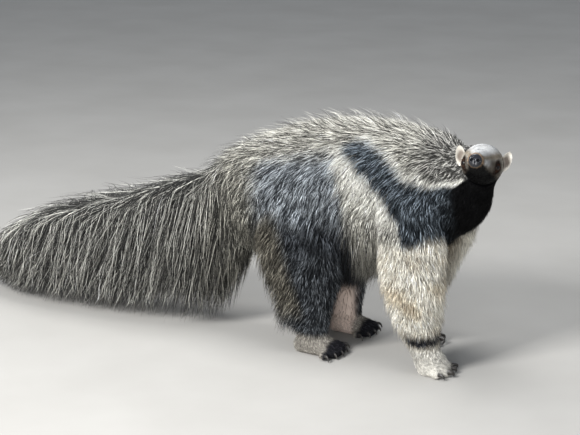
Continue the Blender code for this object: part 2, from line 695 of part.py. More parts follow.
def fore_paw(name, side):
    """The fist on which a foreleg walks, with the knuckles of four toes."""
    table = LEG_TABLES[name]
    made = tube(name.replace("leg", "paw"), table, AHEAD, WRIST, len(table) - 1.0, 6, LEG_POINTS, 1.0)
    toes = []
    claws = []
    for k, place, way in paw_toes(table, 0.034, 16 * side, 0.0165 * side, 4, 0.004, 0.017):
        size = FORE_TOE_SIZES[k]
        across = np.array((-way[1], way[0], 0.0))
        radii = np.array((0.022, 0.0125, 0.019)) * size
        toes.append(ball("toe", place, radii, (way, across, UP), 8, 5))
        root = place + way * 0.012 * size + UP * 0.002
        curl = -across * side * 0.012 * size
        knee = place + way * (0.022 + 0.018 * size) + UP * (0.006 * size)
        tip = place + way * (0.010 + 0.017 * size) + curl
        tip[2] = 0.0015
        claws.append((f"{name.replace('leg', 'claw')}_{k + 1}", root, knee, tip, 0.0052 * size))
    boolean(made, toes, "UNION", "MANIFOLD")
    return made, claws


def hind_paw(name, side):
    """The flat foot of a hind leg, with five short toes."""
    table = LEG_TABLES[name]
    ankle = tube("ankle", table, AHEAD, ANKLE, len(table) - 1.0, 4, LEG_POINTS, 1.0)
    middle = table[-1, :3]
    rows = np.array(SOLE_ROWS)
    sole = np.full((len(rows), 11), 2.0)
    sole[:, 3] = 0.0
    sole[:, 7:10] = 0.0
    sole[:, :3] = middle * (1, 1, 0) + rows[:, :1] * (1, 0, 0) + rows[:, 1:2] * (0, 0, 1)
    sole[:, :3] += (0.022, 0, 0)
    sole[:, 4:7] = rows[:, 2:]
    made = tube(name.replace("leg", "paw"), sole, UP, 0.0, len(rows) - 1.0, 8, LEG_POINTS, 0.0)
    parts = [ankle]
    claws = []
    for k, place, way in paw_toes(table, 0.060, 12 * side, 0.0140 * side, 5, 0.0, 0.004):
        size = HIND_TOE_SIZES[k]
        across = np.array((-way[1], way[0], 0.0))
        radii = np.array((0.019, 0.0092, 0.0125)) * size
        parts.append(ball("toe", place, radii, (way, across, UP), 8, 5))
        root = place + way * 0.009 * size + UP * 0.001
        knee = place + way * 0.025 * size + UP * 0.007
        tip = place + way * 0.029 * size
        tip[2] = 0.0015
        claws.append((f"{name.replace('leg', 'claw')}_{k + 1}", root, knee, tip, 0.0040 * size))
    boolean(made, parts, "UNION", "MANIFOLD")
    return made, claws


def leg(name):
    """A leg from the trunk down to the paw, with its coat."""
    end = WRIST if name.startswith("fore") else ANKLE
    core = tube(name, LEG_TABLES[name], AHEAD, 0.0, end, 8, CORE_POINTS, CORE_SHARE, 0.0, (0.0, GAP))
    made = coated(core, leg_locks(name), [])
    return keep_largest(boolean(made, [trunk_core(GAP), neck_core(GAP)], "DIFFERENCE", "MANIFOLD"))


def finish_material(made, finish):
    """Gives the object its finish and smooths its shading where it is round."""
    made.data.materials.clear()
    made.data.materials.append(material(made.name + "_finish", *FINISHES[finish]))
    made.data.shade_smooth()
    made.data.set_sharp_from_angle(angle=math.radians(40))


def build():
    """Makes every sub-part of the animal."""
    for old in list(bpy.context.scene.objects):
        bpy.data.objects.remove(old)
    parts = trunk()
    parts["neck"] = neck()
    parts["head"] = head_part("head")
    parts["nose"] = head_part("nose")
    finishes = dict.fromkeys(parts, "dark_coat")
    finishes.update(neck="pale_coat", head="pale_coat", nose="bare_nose")
    for side in (1, -1):
        made = boolean(ear(side), [head_part("head", GAP)], "DIFFERENCE")
        parts[made.name] = keep_largest(made)
        finishes[made.name] = "bare_skin"
        made = eye(side)
        parts[made.name] = made
        finishes[made.name] = "eye"
    boolean(parts["head"], [eyelids(1), eyelids(-1)], "UNION", "MANIFOLD")
    boolean(parts["head"], [eye(1, GAP), eye(-1, GAP), mouth_cutter()], "DIFFERENCE", "MANIFOLD")
    keep_largest(parts["head"])
    boolean(parts["nose"], [nostril(1), nostril(-1), mouth_cutter()], "DIFFERENCE")
    for name, (_, _, _, side) in LEGS.items():
        made = leg(name)
        parts[made.name] = made
        paw, claws = (fore_paw if name.startswith("fore") else hind_paw)(name, side)
        boolean(paw, [below_floor()], "DIFFERENCE", "MANIFOLD")
        sockets = [claw("socket", *row[1:], GAP) for row in claws]
        boolean(paw, sockets, "DIFFERENCE", "MANIFOLD")
        parts[paw.name] = keep_largest(paw)
        finishes[name] = "pale_coat" if name.startswith("fore") else "dark_coat"
        finishes[paw.name] = "dark_coat"
        for row in claws:
            made = claw(*row)
            parts[made.name] = made
            finishes[made.name] = "claw"
    for name, made in parts.items():
        finish_material(made, finishes[name])


build()
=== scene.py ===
"""Looks of a life-size giant anteater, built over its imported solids.

One skin is worked out from the same stations as the solids: tubes of rings round
the middle of tail, trunk, neck, head and legs. Hair is grown from it as thin
three-sided tufts that follow the lie of the coat. Skin and hair take their colour
from one function of the place on the body. A place is given by its station, which
is a fractional row of a table of rings, and by its angle round the ring. Units are
metres in the frame's axes: +X is forward, +Y the animal's left, +Z up, with the
floor at zero.
"""
import math

import bpy
import numpy as np
from mathutils import Matrix


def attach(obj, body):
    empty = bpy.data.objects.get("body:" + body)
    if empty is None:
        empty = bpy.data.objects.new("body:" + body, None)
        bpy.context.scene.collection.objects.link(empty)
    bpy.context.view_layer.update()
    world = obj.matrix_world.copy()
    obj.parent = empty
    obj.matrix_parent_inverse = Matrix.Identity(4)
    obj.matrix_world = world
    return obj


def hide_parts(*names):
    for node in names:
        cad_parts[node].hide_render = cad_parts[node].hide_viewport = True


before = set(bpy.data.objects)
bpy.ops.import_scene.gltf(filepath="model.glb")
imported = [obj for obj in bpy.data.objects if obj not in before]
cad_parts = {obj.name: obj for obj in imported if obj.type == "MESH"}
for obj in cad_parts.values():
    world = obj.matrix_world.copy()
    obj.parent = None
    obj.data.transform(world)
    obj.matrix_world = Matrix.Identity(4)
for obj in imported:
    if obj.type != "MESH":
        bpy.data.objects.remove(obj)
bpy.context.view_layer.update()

RANDOM = np.random.default_rng(5)

# Stations of tail, trunk, neck and head, as in the solids: x, y, z, roll in degrees,
# skin up/down/side, coat depth up/down/side, fullness (2 is an ellipse, 4 a box)
ORIGIN = (-0.513, -0.097)
BODY_ROWS = (
    (-1.345, 0, 0.070, 0, 0.006, 0.008, 0.006, 0.020, 0.034, 0.018, 2.2),
    (-1.290, 0, 0.105, 0, 0.012, 0.014, 0.012, 0.046, 0.080, 0.044, 2.3),
    (-1.200, 0, 0.150, 0, 0.018, 0.020, 0.018, 0.065, 0.138, 0.088, 2.7),
    (-1.120, 0, 0.190, 0, 0.022, 0.025, 0.022, 0.066, 0.184, 0.108, 3.0),
    (-1.020, 0, 0.225, 0, 0.026, 0.030, 0.027, 0.064, 0.220, 0.122, 3.2),
    (-0.920, 0, 0.250, 0, 0.029, 0.034, 0.030, 0.065, 0.244, 0.126, 3.2),
    (-0.820, 0, 0.275, 0, 0.032, 0.038, 0.034, 0.058, 0.263, 0.118, 3.2),
    (-0.720, 0, 0.315, 0, 0.036, 0.044, 0.038, 0.056, 0.284, 0.104, 3.1),
    (-0.630, 0, 0.345, 0, 0.040, 0.052, 0.043, 0.043, 0.268, 0.086, 2.9),
    (-0.560, 0, 0.370, 0, 0.044, 0.062, 0.052, 0.031, 0.258, 0.060, 2.6),
    (-0.500, 0, 0.395, 0, 0.067, 0.080, 0.072, 0.040, 0.190, 0.036, 2.3),
    (-0.450, 0, 0.400, 0, 0.090, 0.108, 0.094, 0.042, 0.060, 0.034, 2.1),
    (-0.400, 0, 0.400, 0, 0.114, 0.125, 0.108, 0.038, 0.035, 0.034, 2.0),
    (-0.330, 0, 0.405, 0, 0.134, 0.134, 0.116, 0.040, 0.034, 0.034, 2.0),
    (-0.250, 0, 0.415, 0, 0.147, 0.145, 0.118, 0.040, 0.038, 0.034, 2.0),
    (-0.150, 0, 0.425, 0, 0.150, 0.153, 0.117, 0.041, 0.050, 0.034, 2.0),
    (-0.050, 0, 0.432, 0, 0.146, 0.150, 0.113, 0.040, 0.054, 0.031, 2.0),
    (0.020, 0, 0.438, 0, 0.135, 0.135, 0.107, 0.037, 0.042, 0.028, 2.0),
    (0.080, 0, 0.448, 0, 0.119, 0.119, 0.100, 0.033, 0.028, 0.024, 2.0),
    (0.122, -0.010, 0.463, 2, 0.101, 0.116, 0.086, 0.024, 0.024, 0.019, 2.0),
    (0.156, -0.024, 0.484, 4, 0.080, 0.102, 0.068, 0.018, 0.020, 0.013, 2.0),
    (0.185, -0.040, 0.506, 6, 0.066, 0.079, 0.049, 0.012, 0.014, 0.008, 2.0),
    (0.2065, -0.058, 0.524, 8, 0.058, 0.062, 0.046, 0.007, 0.009, 0.004, 2.0),
)
# The head: its tip, the way it points, its roll, and back from the nose with the
# skin's reach up/down/side
NOSE_TIP = (0.305, -0.345, 0.614)
SNOUT_WAY = (0.284, -0.923, 0.261)
HEAD_ROLL = 5.5
HEAD_COAT = 0.002
HEAD_ROWS = (
    (0.290, 0.0500, 0.0520, 0.0480),
    (0.262, 0.0490, 0.0470, 0.0490),
    (0.234, 0.0470, 0.0425, 0.0475),
    (0.204, 0.0425, 0.0370, 0.0415),
    (0.170, 0.0345, 0.0300, 0.0320),
    (0.130, 0.0275, 0.0255, 0.0260),
    (0.088, 0.0230, 0.0216, 0.0220),
    (0.048, 0.0195, 0.0187, 0.0193),
    (0.020, 0.0162, 0.0158, 0.0165),
    (0.006, 0.0138, 0.0135, 0.0142),
    (0.000, 0.0090, 0.0090, 0.0095),
)
# A leg: forward of its foot, in or out from it, height, skin front/back/side, coat
# depth front/back/side
FORE_ROWS = (
    (-0.087, 0.045, 0.450, 0.060, 0.060, 0.040, 0.025, 0.035, 0.016),
    (-0.085, 0.030, 0.400, 0.074, 0.074, 0.045, 0.030, 0.040, 0.018),
    (-0.077, 0.020, 0.330, 0.070, 0.062, 0.049, 0.038, 0.044, 0.021),
    (-0.072, 0.015, 0.265, 0.062, 0.055, 0.047, 0.044, 0.048, 0.024),
    (-0.061, 0.009, 0.200, 0.054, 0.048, 0.042, 0.042, 0.045, 0.024),
    (-0.045, 0.005, 0.128, 0.041, 0.038, 0.036, 0.029, 0.036, 0.017),
    (-0.026, 0.002, 0.072, 0.034, 0.032, 0.032, 0.012, 0.014, 0.009),
    (-0.011, 0.000, 0.042, 0.043, 0.036, 0.037, 0.008, 0.010, 0.007),
    (0.000, 0.000, 0.018, 0.048, 0.038, 0.040, 0.004, 0.006, 0.004),
    (0.000, 0.000, -0.006, 0.036, 0.030, 0.032, 0.002, 0.003, 0.002),
)
HIND_ROWS = (
    (-0.105, 0.050, 0.430, 0.090, 0.085, 0.043, 0.025, 0.030, 0.017),
    (-0.085, 0.030, 0.360, 0.104, 0.098, 0.049, 0.034, 0.044, 0.017),
    (-0.066, 0.020, 0.280, 0.092, 0.090, 0.050, 0.034, 0.072, 0.018),
    (-0.046, 0.012, 0.205, 0.074, 0.070, 0.046, 0.032, 0.084, 0.017),
    (-0.028, 0.006, 0.150, 0.052, 0.056, 0.039, 0.024, 0.092, 0.015),
    (-0.018, 0.003, 0.100, 0.038, 0.046, 0.034, 0.014, 0.064, 0.012),
    (-0.018, 0.001, 0.060, 0.036, 0.040, 0.030, 0.009, 0.018, 0.008),
    (-0.020, 0.000, 0.030, 0.038, 0.040, 0.030, 0.008, 0.008, 0.005),
    (-0.022, 0.000, 0.008, 0.030, 0.032, 0.026, 0.003, 0.004, 0.003),
)
# A hind foot from heel to toes: forward of its middle, height, skin up/down/side
SOLE_ROWS = (
    (-0.068, 0.017, 0.009, 0.010, 0.013),
    (-0.058, 0.020, 0.022, 0.024, 0.025),
    (-0.026, 0.024, 0.030, 0.029, 0.033),
    (0.014, 0.021, 0.024, 0.027, 0.037),
    (0.046, 0.015, 0.017, 0.020, 0.040),
    (0.060, 0.012, 0.010, 0.014, 0.034),
)
SOLE_FORWARD = 0.022
# Toes of a fore and of a hind foot: reach to the front, degrees and metres from one to
# the next, place back and up, and the size of each from the inner one out
FORE_TOES = (0.034, 16, 0.0165, 0.004, 0.017, (0.72, 0.95, 1.20, 0.75))
HIND_TOES = (0.060, 12, 0.0140, 0.0, 0.004, (0.85, 1.0, 1.05, 1.0, 0.85))
# Each leg: its rows, the place of its foot, its root's lead, and its side (1 is left)
LEGS = {
    "fore_leg_right": (FORE_ROWS, (0.114, -0.118), 0.008, -1),
    "fore_leg_left": (FORE_ROWS, (-0.005, 0.085), 0.170, 1),
    "hind_leg_right": (HIND_ROWS, (-0.200, -0.110), 0.0, -1),
    "hind_leg_left": (HIND_ROWS, (-0.196, 0.085), -0.014, 1),
}
NECK_ROW = 18
NECK_BEND = (18.0, 21.0)
TAIL_ROOT = 10.4            # the station where tail and trunk meet
TRUNK_FROM = 9.3            # where the hair of the trunk starts
NECK_FROM = 18.2            # where that of the neck does
FACE_FROM = 22.8            # and that of the face
HEAD_FROM = 21.6            # where the finely made head starts, inside the neck
NECK_END = 23.4             # where the neck ends, inside the head
SNOUT_END = 31.8            # where the skin ends, inside the nose pad
PAD_RADIUS = 0.0158
EYE_RADIUS = 0.0085
EYE_BACK = 0.200
EYE_OUT = 0.0370
EYE_DROP = 0.005
EAR_BACK = 0.262
EAR_OUT = 0.0545
EAR_RISE = 0.012
EAR_RADII = (0.025, 0.0125, 0.0095)
SKIN_VOXEL = 0.005
SKIN_LOW = 0.0006           # least height of the skin over the floor
HAIR_LOW = 0.002            # that of the hair
CLAW_LOW = 0.0004           # and that of the claws
TUFT_PATCH = 0.003          # width of a tuft's patch in the unwrap
CAMERA_AIM = (-0.374 - ORIGIN[0], 0.061 - ORIGIN[1], 0.300)
CAMERA_TURN = 27            # degrees from square to the body's right side to its front
CAMERA_RISE = 15            # degrees above the floor
CAMERA_AWAY = 5.05
CAMERA_LENS = 117.93
MOST_TRIANGLES = 190000     # in one piece
COAT_STEPS = 3              # places along a tuft of the coat
TAIL_STEPS = 5              # and along one of the tail
COAT_WIDTH = 0.0018         # of the long hair of trunk, legs and tail
HUG = 2.6                   # how much a tuft bends to the skin's own curve, per metre
CURTAIN_SHARE = 0.11        # share of the tail's hair that hangs below its root
OVER_TOP_SHARE = 0.28       # share of its upper hair that lies over the top
UP = np.array((0.0, 0.0, 1.0))
AHEAD = np.array((1.0, 0.0, 0.0))


def unit(vector):
    """The vectors of an array at length one."""
    return vector / np.maximum(np.linalg.norm(vector, axis=-1, keepdims=True), 1e-9)


def dot(one, two):
    """Dot products along the last axis, which is kept."""
    return (one * two).sum(-1, keepdims=True)


def ease(low, high, value):
    """0 below low, 1 above high and a smooth S between them."""
    part = np.clip((value - low) / (high - low), 0.0, 1.0)
    return part * part * (3 - 2 * part)


def mix(one, two, part):
    """One where part is 0 and two where it is 1, for vectors or arrays of them."""
    one, two = np.asarray(one), np.asarray(two)
    return one + (two - one) * np.asarray(part)[..., None]


def bell(distance, width):
    """A Gaussian bump: one in the middle, and small past twice the width."""
    return np.exp(-((distance / width) ** 2))


def smooth_rows(rows, at):
    """Rows of a table at fractional places, on a cubic curve through its rows."""
    at = np.clip(np.asarray(at, float), 0, len(rows) - 1)
    low = np.minimum(at.astype(int), len(rows) - 2)
    part = (at - low)[..., None]
    padded = np.vstack([2 * rows[0] - rows[1], rows, 2 * rows[-1] - rows[-2]])
    before, start, end, after = (padded[low + k] for k in range(4))
    leave, arrive = (end - before) / 2, (after - start) / 2
    turn = 3 * (end - start) - 2 * leave - arrive
    settle = leave + arrive - 2 * (end - start)
    return start + part * (leave + part * (turn + part * settle))


def body_table():
    """The stations of tail, trunk, neck and head as one table."""
    way = unit(np.array(SNOUT_WAY))
    head = [
        (*(np.array(NOSE_TIP) - way * back), HEAD_ROLL, *reach, *[HEAD_COAT] * 3, 2.0)
        for back, *reach in HEAD_ROWS
    ]
    table = np.array(BODY_ROWS + tuple(head))
    table[:, :2] -= ORIGIN
    return table


def leg_table(rows, foot, lead, side):
    """A leg's stations in the body's columns, round and without roll, with its root
    moved forward of its foot by the lead."""
    rows = np.array(rows)
    table = np.zeros((len(rows), 11))
    table[:, 0] = foot[0] + rows[:, 0] + lead * ease(0.0, rows[0, 2], rows[:, 2]) - ORIGIN[0]
    table[:, 1] = foot[1] - side * rows[:, 1] - ORIGIN[1]
    table[:, 2] = rows[:, 2]
    table[:, 4:10] = rows[:, 3:]
    table[:, 10] = 2.0
    return table


BODY = body_table()
NOSE = len(BODY) - 1.0
LEG_TABLES = {name: leg_table(*row) for name, row in LEGS.items()}


def frame_at(table, at, hint):
    """Middle, way along, way up and way left of the rings at these stations."""
    step = 0.02
    at = np.asarray(at, float)
    middle = smooth_rows(table, at)[..., :3]
    path = unit(smooth_rows(table, at + step)[..., :3] - smooth_rows(table, at - step)[..., :3])
    turn = ease(*NECK_BEND, at)[..., None]
    along = unit(AHEAD + turn * (path - AHEAD)) if hint is UP else np.broadcast_to(-UP, path.shape)
    up = unit(hint - (along @ hint)[..., None] * along)
    left = np.cross(up, along)
    roll = np.radians(smooth_rows(table, at)[..., 3:4])
    rise, swing = np.cos(roll), np.sin(roll)
    return middle, along, up * rise + left * swing, left * rise - up * swing


def surface(table, hint, at, angle, share, grow=0.0):
    """Points round the rings: angle 0 is up or front and a quarter turn is left.

    Each point is the ring's middle plus up times the cosine and left times the sine,
    both raised to two over the fullness, and scaled by the reach that way: the skin,
    plus this share of the coat, plus grow.
    """
    at, angle = np.broadcast_arrays(np.asarray(at, float), np.asarray(angle, float))
    middle, _, up, left = frame_at(table, at, hint)
    row = smooth_rows(table, at)
    reach = row[..., 4:7] + np.asarray(share)[..., None] * row[..., 7:10]
    reach = reach + np.asarray(grow)[..., None]
    power = 2 / row[..., 10]
    rise = np.sign(np.cos(angle)) * np.abs(np.cos(angle)) ** power
    swing = np.sign(np.sin(angle)) * np.abs(np.sin(angle)) ** power
    high = np.where(rise > 0, reach[..., 0], reach[..., 1]) * rise
    wide = reach[..., 2] * swing
    return middle + up * high[..., None] + left * wide[..., None]


def head_place(back, out, rise):
    """A place on the head: back from the nose, out to the left and up."""
    stations = np.arange(len(HEAD_ROWS)) + len(BODY_ROWS)
    at = np.interp(-back, [-row[0] for row in HEAD_ROWS], stations)
    middle, along, up, left = (part[0] for part in frame_at(BODY, np.array([at]), UP))
    return middle + left * out + up * rise, along, up, left


def eye_axes(side):
    """Middle of an eye, the way it looks, the way along the head, and up."""
    middle, along, up, left = head_place(EYE_BACK, side * EYE_OUT, -EYE_DROP)
    look = unit(left * side * 0.78 + along * 0.63)
    return middle, look, np.cross(look, up) * side, up


EYES = {side: eye_axes(side) for side in (1, -1)}


def mesh_object(name, points, faces):
    """A mesh object from arrays of points and of faces with equal corners."""
    points, faces = np.asarray(points, float), np.asarray(faces, int)
    mesh = bpy.data.meshes.new(name)
    mesh.vertices.add(len(points))
    mesh.vertices.foreach_set("co", points.ravel())
    mesh.loops.add(faces.size)
    mesh.loops.foreach_set("vertex_index", faces.ravel())
    mesh.polygons.add(len(faces))
    mesh.polygons.foreach_set("loop_start", np.arange(0, faces.size, faces.shape[1]))
    mesh.update(calc_edges=True)
    made = bpy.data.objects.new(name, mesh)
    bpy.context.scene.collection.objects.link(made)
    return made


def vectors(items, key, kind=float):
    """The three values of each item of a mesh, such as the places of its points."""
    values = np.empty(len(items) * 3, kind)
    items.foreach_get(key, values)
    return values.reshape(-1, 3)


def paint_points(piece, colours):
    """Writes a colour for each point of a piece as its tint."""
    layer = piece.data.color_attributes.new("tint", "FLOAT_COLOR", "POINT")
    layer.data.foreach_set("color", np.hstack([colours, np.ones((len(colours), 1))]).ravel())


def placed(piece, finish, slot, *nodes):
    """Gives a piece its finish and body, and the nodes that it stands for. Its slot is not used."""
    piece.data.materials.clear()
    piece.data.materials.append(finish)
    piece.data.polygons.foreach_set("use_smooth", np.ones(len(piece.data.polygons), bool))
    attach(piece, "root")
    if nodes:
        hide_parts(*nodes)
    return piece


def grid_faces(rings, count):
    """Triangles of a closed tube of rings, with a middle point after the last row for
    each end: first the end at ring 0, then the other."""
    here = np.arange(rings * count).reshape(rings, count)
    there = np.roll(here, -1, axis=1)
    sides = [np.stack(half, -1).reshape(-1, 3) for half in (
        (here[:-1], here[1:], there[1:]),
        (here[:-1], there[1:], there[:-1]),
    )]
    first, last = rings * count, rings * count + 1
    start = np.stack([there[0], np.full(count, first), here[0]], -1)
    end = np.stack([here[-1], np.full(count, last), there[-1]], -1)
    return np.vstack(sides + [start, end])


def facing_out(points, faces):
    """The points, and their triangles turned so that the volume inside is positive."""
    corners = points[faces] - points.mean(0)
    volume = np.einsum("ij,ij->i", corners[:, 0], np.cross(corners[:, 1], corners[:, 2])).sum()
    return points, faces[:, ::-1] if volume < 0 else faces


def ring_angles(count):
    """Angles evenly round a ring, as one row."""
    return np.linspace(0, 2 * math.pi, count, endpoint=False)[None, :]


def tube_arrays(points):
    """Points and triangles of a tube closed at both ends by fans, facing out."""
    ends = np.stack([points[0].mean(0), points[-1].mean(0)])
    return facing_out(np.vstack([points.reshape(-1, 3), ends]), grid_faces(*points.shape[:2]))


def closed_ring(points):
    """Points and triangles of a tube whose last ring meets its first, facing out."""
    rings, count = points.shape[:2]
    here = np.arange(rings * count).reshape(rings, count)
    there, after = np.roll(here, -1, axis=1), np.roll(here, -1, axis=0)
    beyond = np.roll(after, -1, axis=1)
    halves = ((here, after, beyond), (here, beyond, there))
    faces = np.vstack([np.stack(half, -1).reshape(-1, 3) for half in halves])
    return facing_out(points.reshape(-1, 3), faces)


def joined(parts):
    """Several (points, triangles) as one."""
    sizes = np.cumsum([0] + [len(points) for points, _ in parts])
    faces = [own + before for (_, own), before in zip(parts, sizes)]
    return np.vstack([points for points, _ in parts]), np.vstack(faces)


def ball_arrays(middle, radii, axes, segments=20, rings=14):
    """An ellipsoid as rings from pole to pole along its first axis."""
    rise = np.linspace(0.04, math.pi - 0.04, rings)[:, None]
    turn = ring_angles(segments)
    wide = np.sin(rise)
    local = np.stack([np.cos(rise) + 0 * turn, wide * np.cos(turn), wide * np.sin(turn)], -1)
    return tube_arrays(np.asarray(middle) + (local * np.asarray(radii)) @ np.asarray(axes))


def applied(target):
    """The object with its modifiers made part of its mesh."""
    graph = bpy.context.evaluated_depsgraph_get()
    mesh = bpy.data.meshes.new_from_object(target.evaluated_get(graph))
    old = target.data
    target.modifiers.clear()
    target.data = mesh
    bpy.data.meshes.remove(old)
    return target


def united(target, others):
    """The target joined with closed objects, which are then removed."""
    for other in others:
        modifier = target.modifiers.new("join", "BOOLEAN")
        modifier.operation = "UNION"
        modifier.object = other
        modifier.solver = "MANIFOLD"
    applied(target)
    for other in others:
        bpy.data.objects.remove(other)
    return target


def toes(name):
    """Middle, way and size of each toe of a foot, in a fan across its front."""
    kind = FORE_TOES if name.startswith("fore") else HIND_TOES
    front, spread, width, back, rise, sizes = kind
    foot, side = LEG_TABLES[name][-1, :3], LEGS[name][3]
    for k, size in enumerate(sizes):
        step = side * (k - (len(sizes) - 1) / 2)
        turn = math.radians(spread) * step
        way = np.array((math.cos(turn), math.sin(turn), 0.0))
        yield foot + way * front + np.array((-back, width * step, rise)), way, size


def foot_parts(name):
    """Closed surfaces of a foot below its leg: sole and toes."""
    table = LEG_TABLES[name]
    fore = name.startswith("fore")
    parts = []
    if not fore:
        rows = np.array(SOLE_ROWS)
        sole = np.zeros((len(rows), 11))
        sole[:, 10] = 2.0
        sole[:, :3] = table[-1, :3] * (1, 1, 0) + rows[:, :1] * AHEAD + rows[:, 1:2] * UP
        sole[:, 0] += SOLE_FORWARD
        sole[:, 4:7] = rows[:, 2:]
        at = np.linspace(0, len(rows) - 1.0, 24)[:, None]
        parts.append(tube_arrays(surface(sole, UP, at, ring_angles(32), 0.0)))
    radii = np.array((0.022, 0.0125, 0.019) if fore else (0.019, 0.0092, 0.0125))
    for place, way, size in toes(name):
        across = np.array((-way[1], way[0], 0.0))
        parts.append(ball_arrays(place, radii * size, (way, across, UP)))
    return parts


def body_skin():
    """Tail, trunk, neck, legs and feet as one smooth closed surface.

    Tubes of the skin's own rings are joined by remeshing them into small cubes,
    and the steps and creases of the cubes are then smoothed away.
    """
    at = np.linspace(0.15, NECK_END, 260)[:, None]
    shrink = -0.008 * ease(22.6, NECK_END, at)
    parts = [tube_arrays(surface(BODY, UP, at, ring_angles(72), 0.0, shrink))]
    for name, table in LEG_TABLES.items():
        at = np.linspace(0, len(table) - 1.0, 80)[:, None]
        parts.append(tube_arrays(surface(table, AHEAD, at, ring_angles(40), 0.0)))
        parts += foot_parts(name)
    made = mesh_object("skin", *joined(parts))
    remesh = made.modifiers.new("cubes", "REMESH")
    remesh.mode = "VOXEL"
    remesh.voxel_size = SKIN_VOXEL
    smooth = made.modifiers.new("smooth", "SMOOTH")
    smooth.iterations = 10
    smooth.factor = 0.5
    return applied(made)


def head_relief(points, at, angle, outward):
    """Moves the head's skin out or in: sockets, brows, cheeks, jaw and mouth.

    Each form is a Gaussian bump round a place, or along a line, on the head.
    """
    move = np.zeros(at.shape)
    for middle, _, _, up in EYES.values():
        from_eye = np.linalg.norm(points - middle, axis=-1)
        move += 0.0012 * bell(from_eye - 0.0145, 0.0040) - 0.0050 * bell(from_eye, 0.0082)
        from_brow = np.linalg.norm(points - middle - up * 0.017, axis=-1)
        move += 0.0020 * bell(from_brow, 0.0110)
        below = np.linalg.norm(points - middle + up * 0.020, axis=-1)
        move -= 0.0014 * bell(below, 0.0110)
    flat = np.abs(np.degrees(np.arctan2(np.sin(angle), np.cos(angle))))
    # Jaws out and bridge of the snout in, the mouth's groove with its lips, the pad's rim
    move += 0.0030 * bell(flat - 118, 26) * bell(at - 25.2, 1.1)
    move -= 0.0018 * bell(flat, 22) * bell(at - 26.6, 1.0)
    along_mouth = ease(28.7, 29.3, at)
    move -= 0.0011 * bell(flat - 112, 3.2) * along_mouth
    move += 0.0009 * (bell(flat - 100, 7.0) + bell(flat - 126, 8.0)) * along_mouth
    move += 0.0018 * bell(at - 31.3, 0.45)
    return points + outward * move[..., None]


def head_skin():
    """The head's own fine grid: rings of the stations, then its relief."""
    at = HEAD_FROM + (SNOUT_END - HEAD_FROM) * np.linspace(0, 1, 150)[:, None]
    angle = ring_angles(150)
    at, angle = np.broadcast_arrays(at, angle)
    grow = -0.010 * (1 - ease(HEAD_FROM, 22.8, at)) - 0.004 * ease(31.7, SNOUT_END, at)
    points = surface(BODY, UP, at, angle, 0.0, grow)
    middle = frame_at(BODY, at, UP)[0]
    return mesh_object("head", *tube_arrays(head_relief(points, at, angle, unit(points - middle))))


def eyelid(side):
    """A rim round the eye: a ring of small circles along an oval on a larger ball.

    The oval is wider than it is high and pointed at its corners, and each circle is
    thickest above the eye.
    """
    middle, look, across, up = EYES[side]
    turn = np.linspace(0, 2 * math.pi, 72, endpoint=False)[:, None]
    wide, high = 0.0098, 0.0074
    rise = np.sin(turn) * np.abs(np.sin(turn)) ** 0.25
    flat = across * np.cos(turn) * wide + up * rise * high
    radius = EYE_RADIUS + 0.0009
    deep = np.sqrt(np.maximum(radius**2 - (flat**2).sum(-1, keepdims=True), 1.6e-5))
    path = middle + flat + look * deep
    outward = unit(flat + look * 0.35 * radius)
    thick = 0.0012 + 0.0006 * np.clip(np.sin(turn), 0, 1)
    way = unit(np.roll(path, -1, 0) - np.roll(path, 1, 0))
    side_way = unit(np.cross(way, outward))
    ring = ring_angles(14)[..., None]
    around = outward[:, None] * np.cos(ring) * 1.5 + side_way[:, None] * np.sin(ring)
    return mesh_object("lid", *closed_ring(path[:, None] + around * thick[:, None]))


def ear_axes(side):
    """Middle of an ear, the way it stands, the way across it and the way it opens."""
    middle, along, up, left = head_place(EAR_BACK, side * EAR_OUT, EAR_RISE)
    out = left * side
    reach = unit(up + out * 0.18 - along * 0.20)
    front = along + out * 0.35
    front = unit(front - reach * (front @ reach))
    return middle, reach, np.cross(reach, front), front


EARS = {side: ear_axes(side) for side in (1, -1)}


def ear_skin(side):
    """A cupped ear: one sheet from the middle of its back out to the rim, round the
    rim and down into the cup. How far out is the sine of the way along the sheet,
    and the depth is a bowl; the lower end is narrowed into a stalk."""
    middle, reach, across, front = EARS[side]
    long, wide, deep = EAR_RADII
    way = np.linspace(0.0, 1.0, 46)[:, None]
    turn = ring_angles(56)
    back = way < 0.5
    share = np.where(back, way, 1 - way) * 2
    out = np.sin(share * math.pi / 2)
    wall = 0.0022 * np.sin(np.clip(1 - share, 0, 1) * math.pi / 2) ** 0.5
    bowl = -deep * 1.5 * (1 - out**2) + deep * 0.5 + np.where(back, -wall, wall)
    narrow = 1 - 0.30 * ease(0.1, 1.0, -np.cos(turn))
    rise = np.cos(turn) * out * long
    swing = np.sin(turn) * out * wide * narrow
    fold = 0.0012 * bell(np.abs(np.sin(turn)) - 0.75, 0.2) * out * np.where(back, 0, 1)
    points = (
        middle
        + reach * rise[..., None]
        + across * swing[..., None]
        + front * (bowl + fold + 0.0022 * out * np.cos(2 * turn))[..., None]
    )
    return mesh_object("ear", *tube_arrays(points[1:-1]))


def made_skin():
    """The one skin: body, head, lids and ears joined, with the soles flat on the floor."""
    skin = united(body_skin(), [head_skin(), eyelid(1), eyelid(-1), ear_skin(1), ear_skin(-1)])
    points = vectors(skin.data.vertices, "co")
    points[:, 2] = np.maximum(points[:, 2], SKIN_LOW)
    skin.data.vertices.foreach_set("co", points.ravel())
    skin.data.update()
    return skin


STEP_STATIONS = np.linspace(NECK_ROW - 1.5, NOSE, 150)


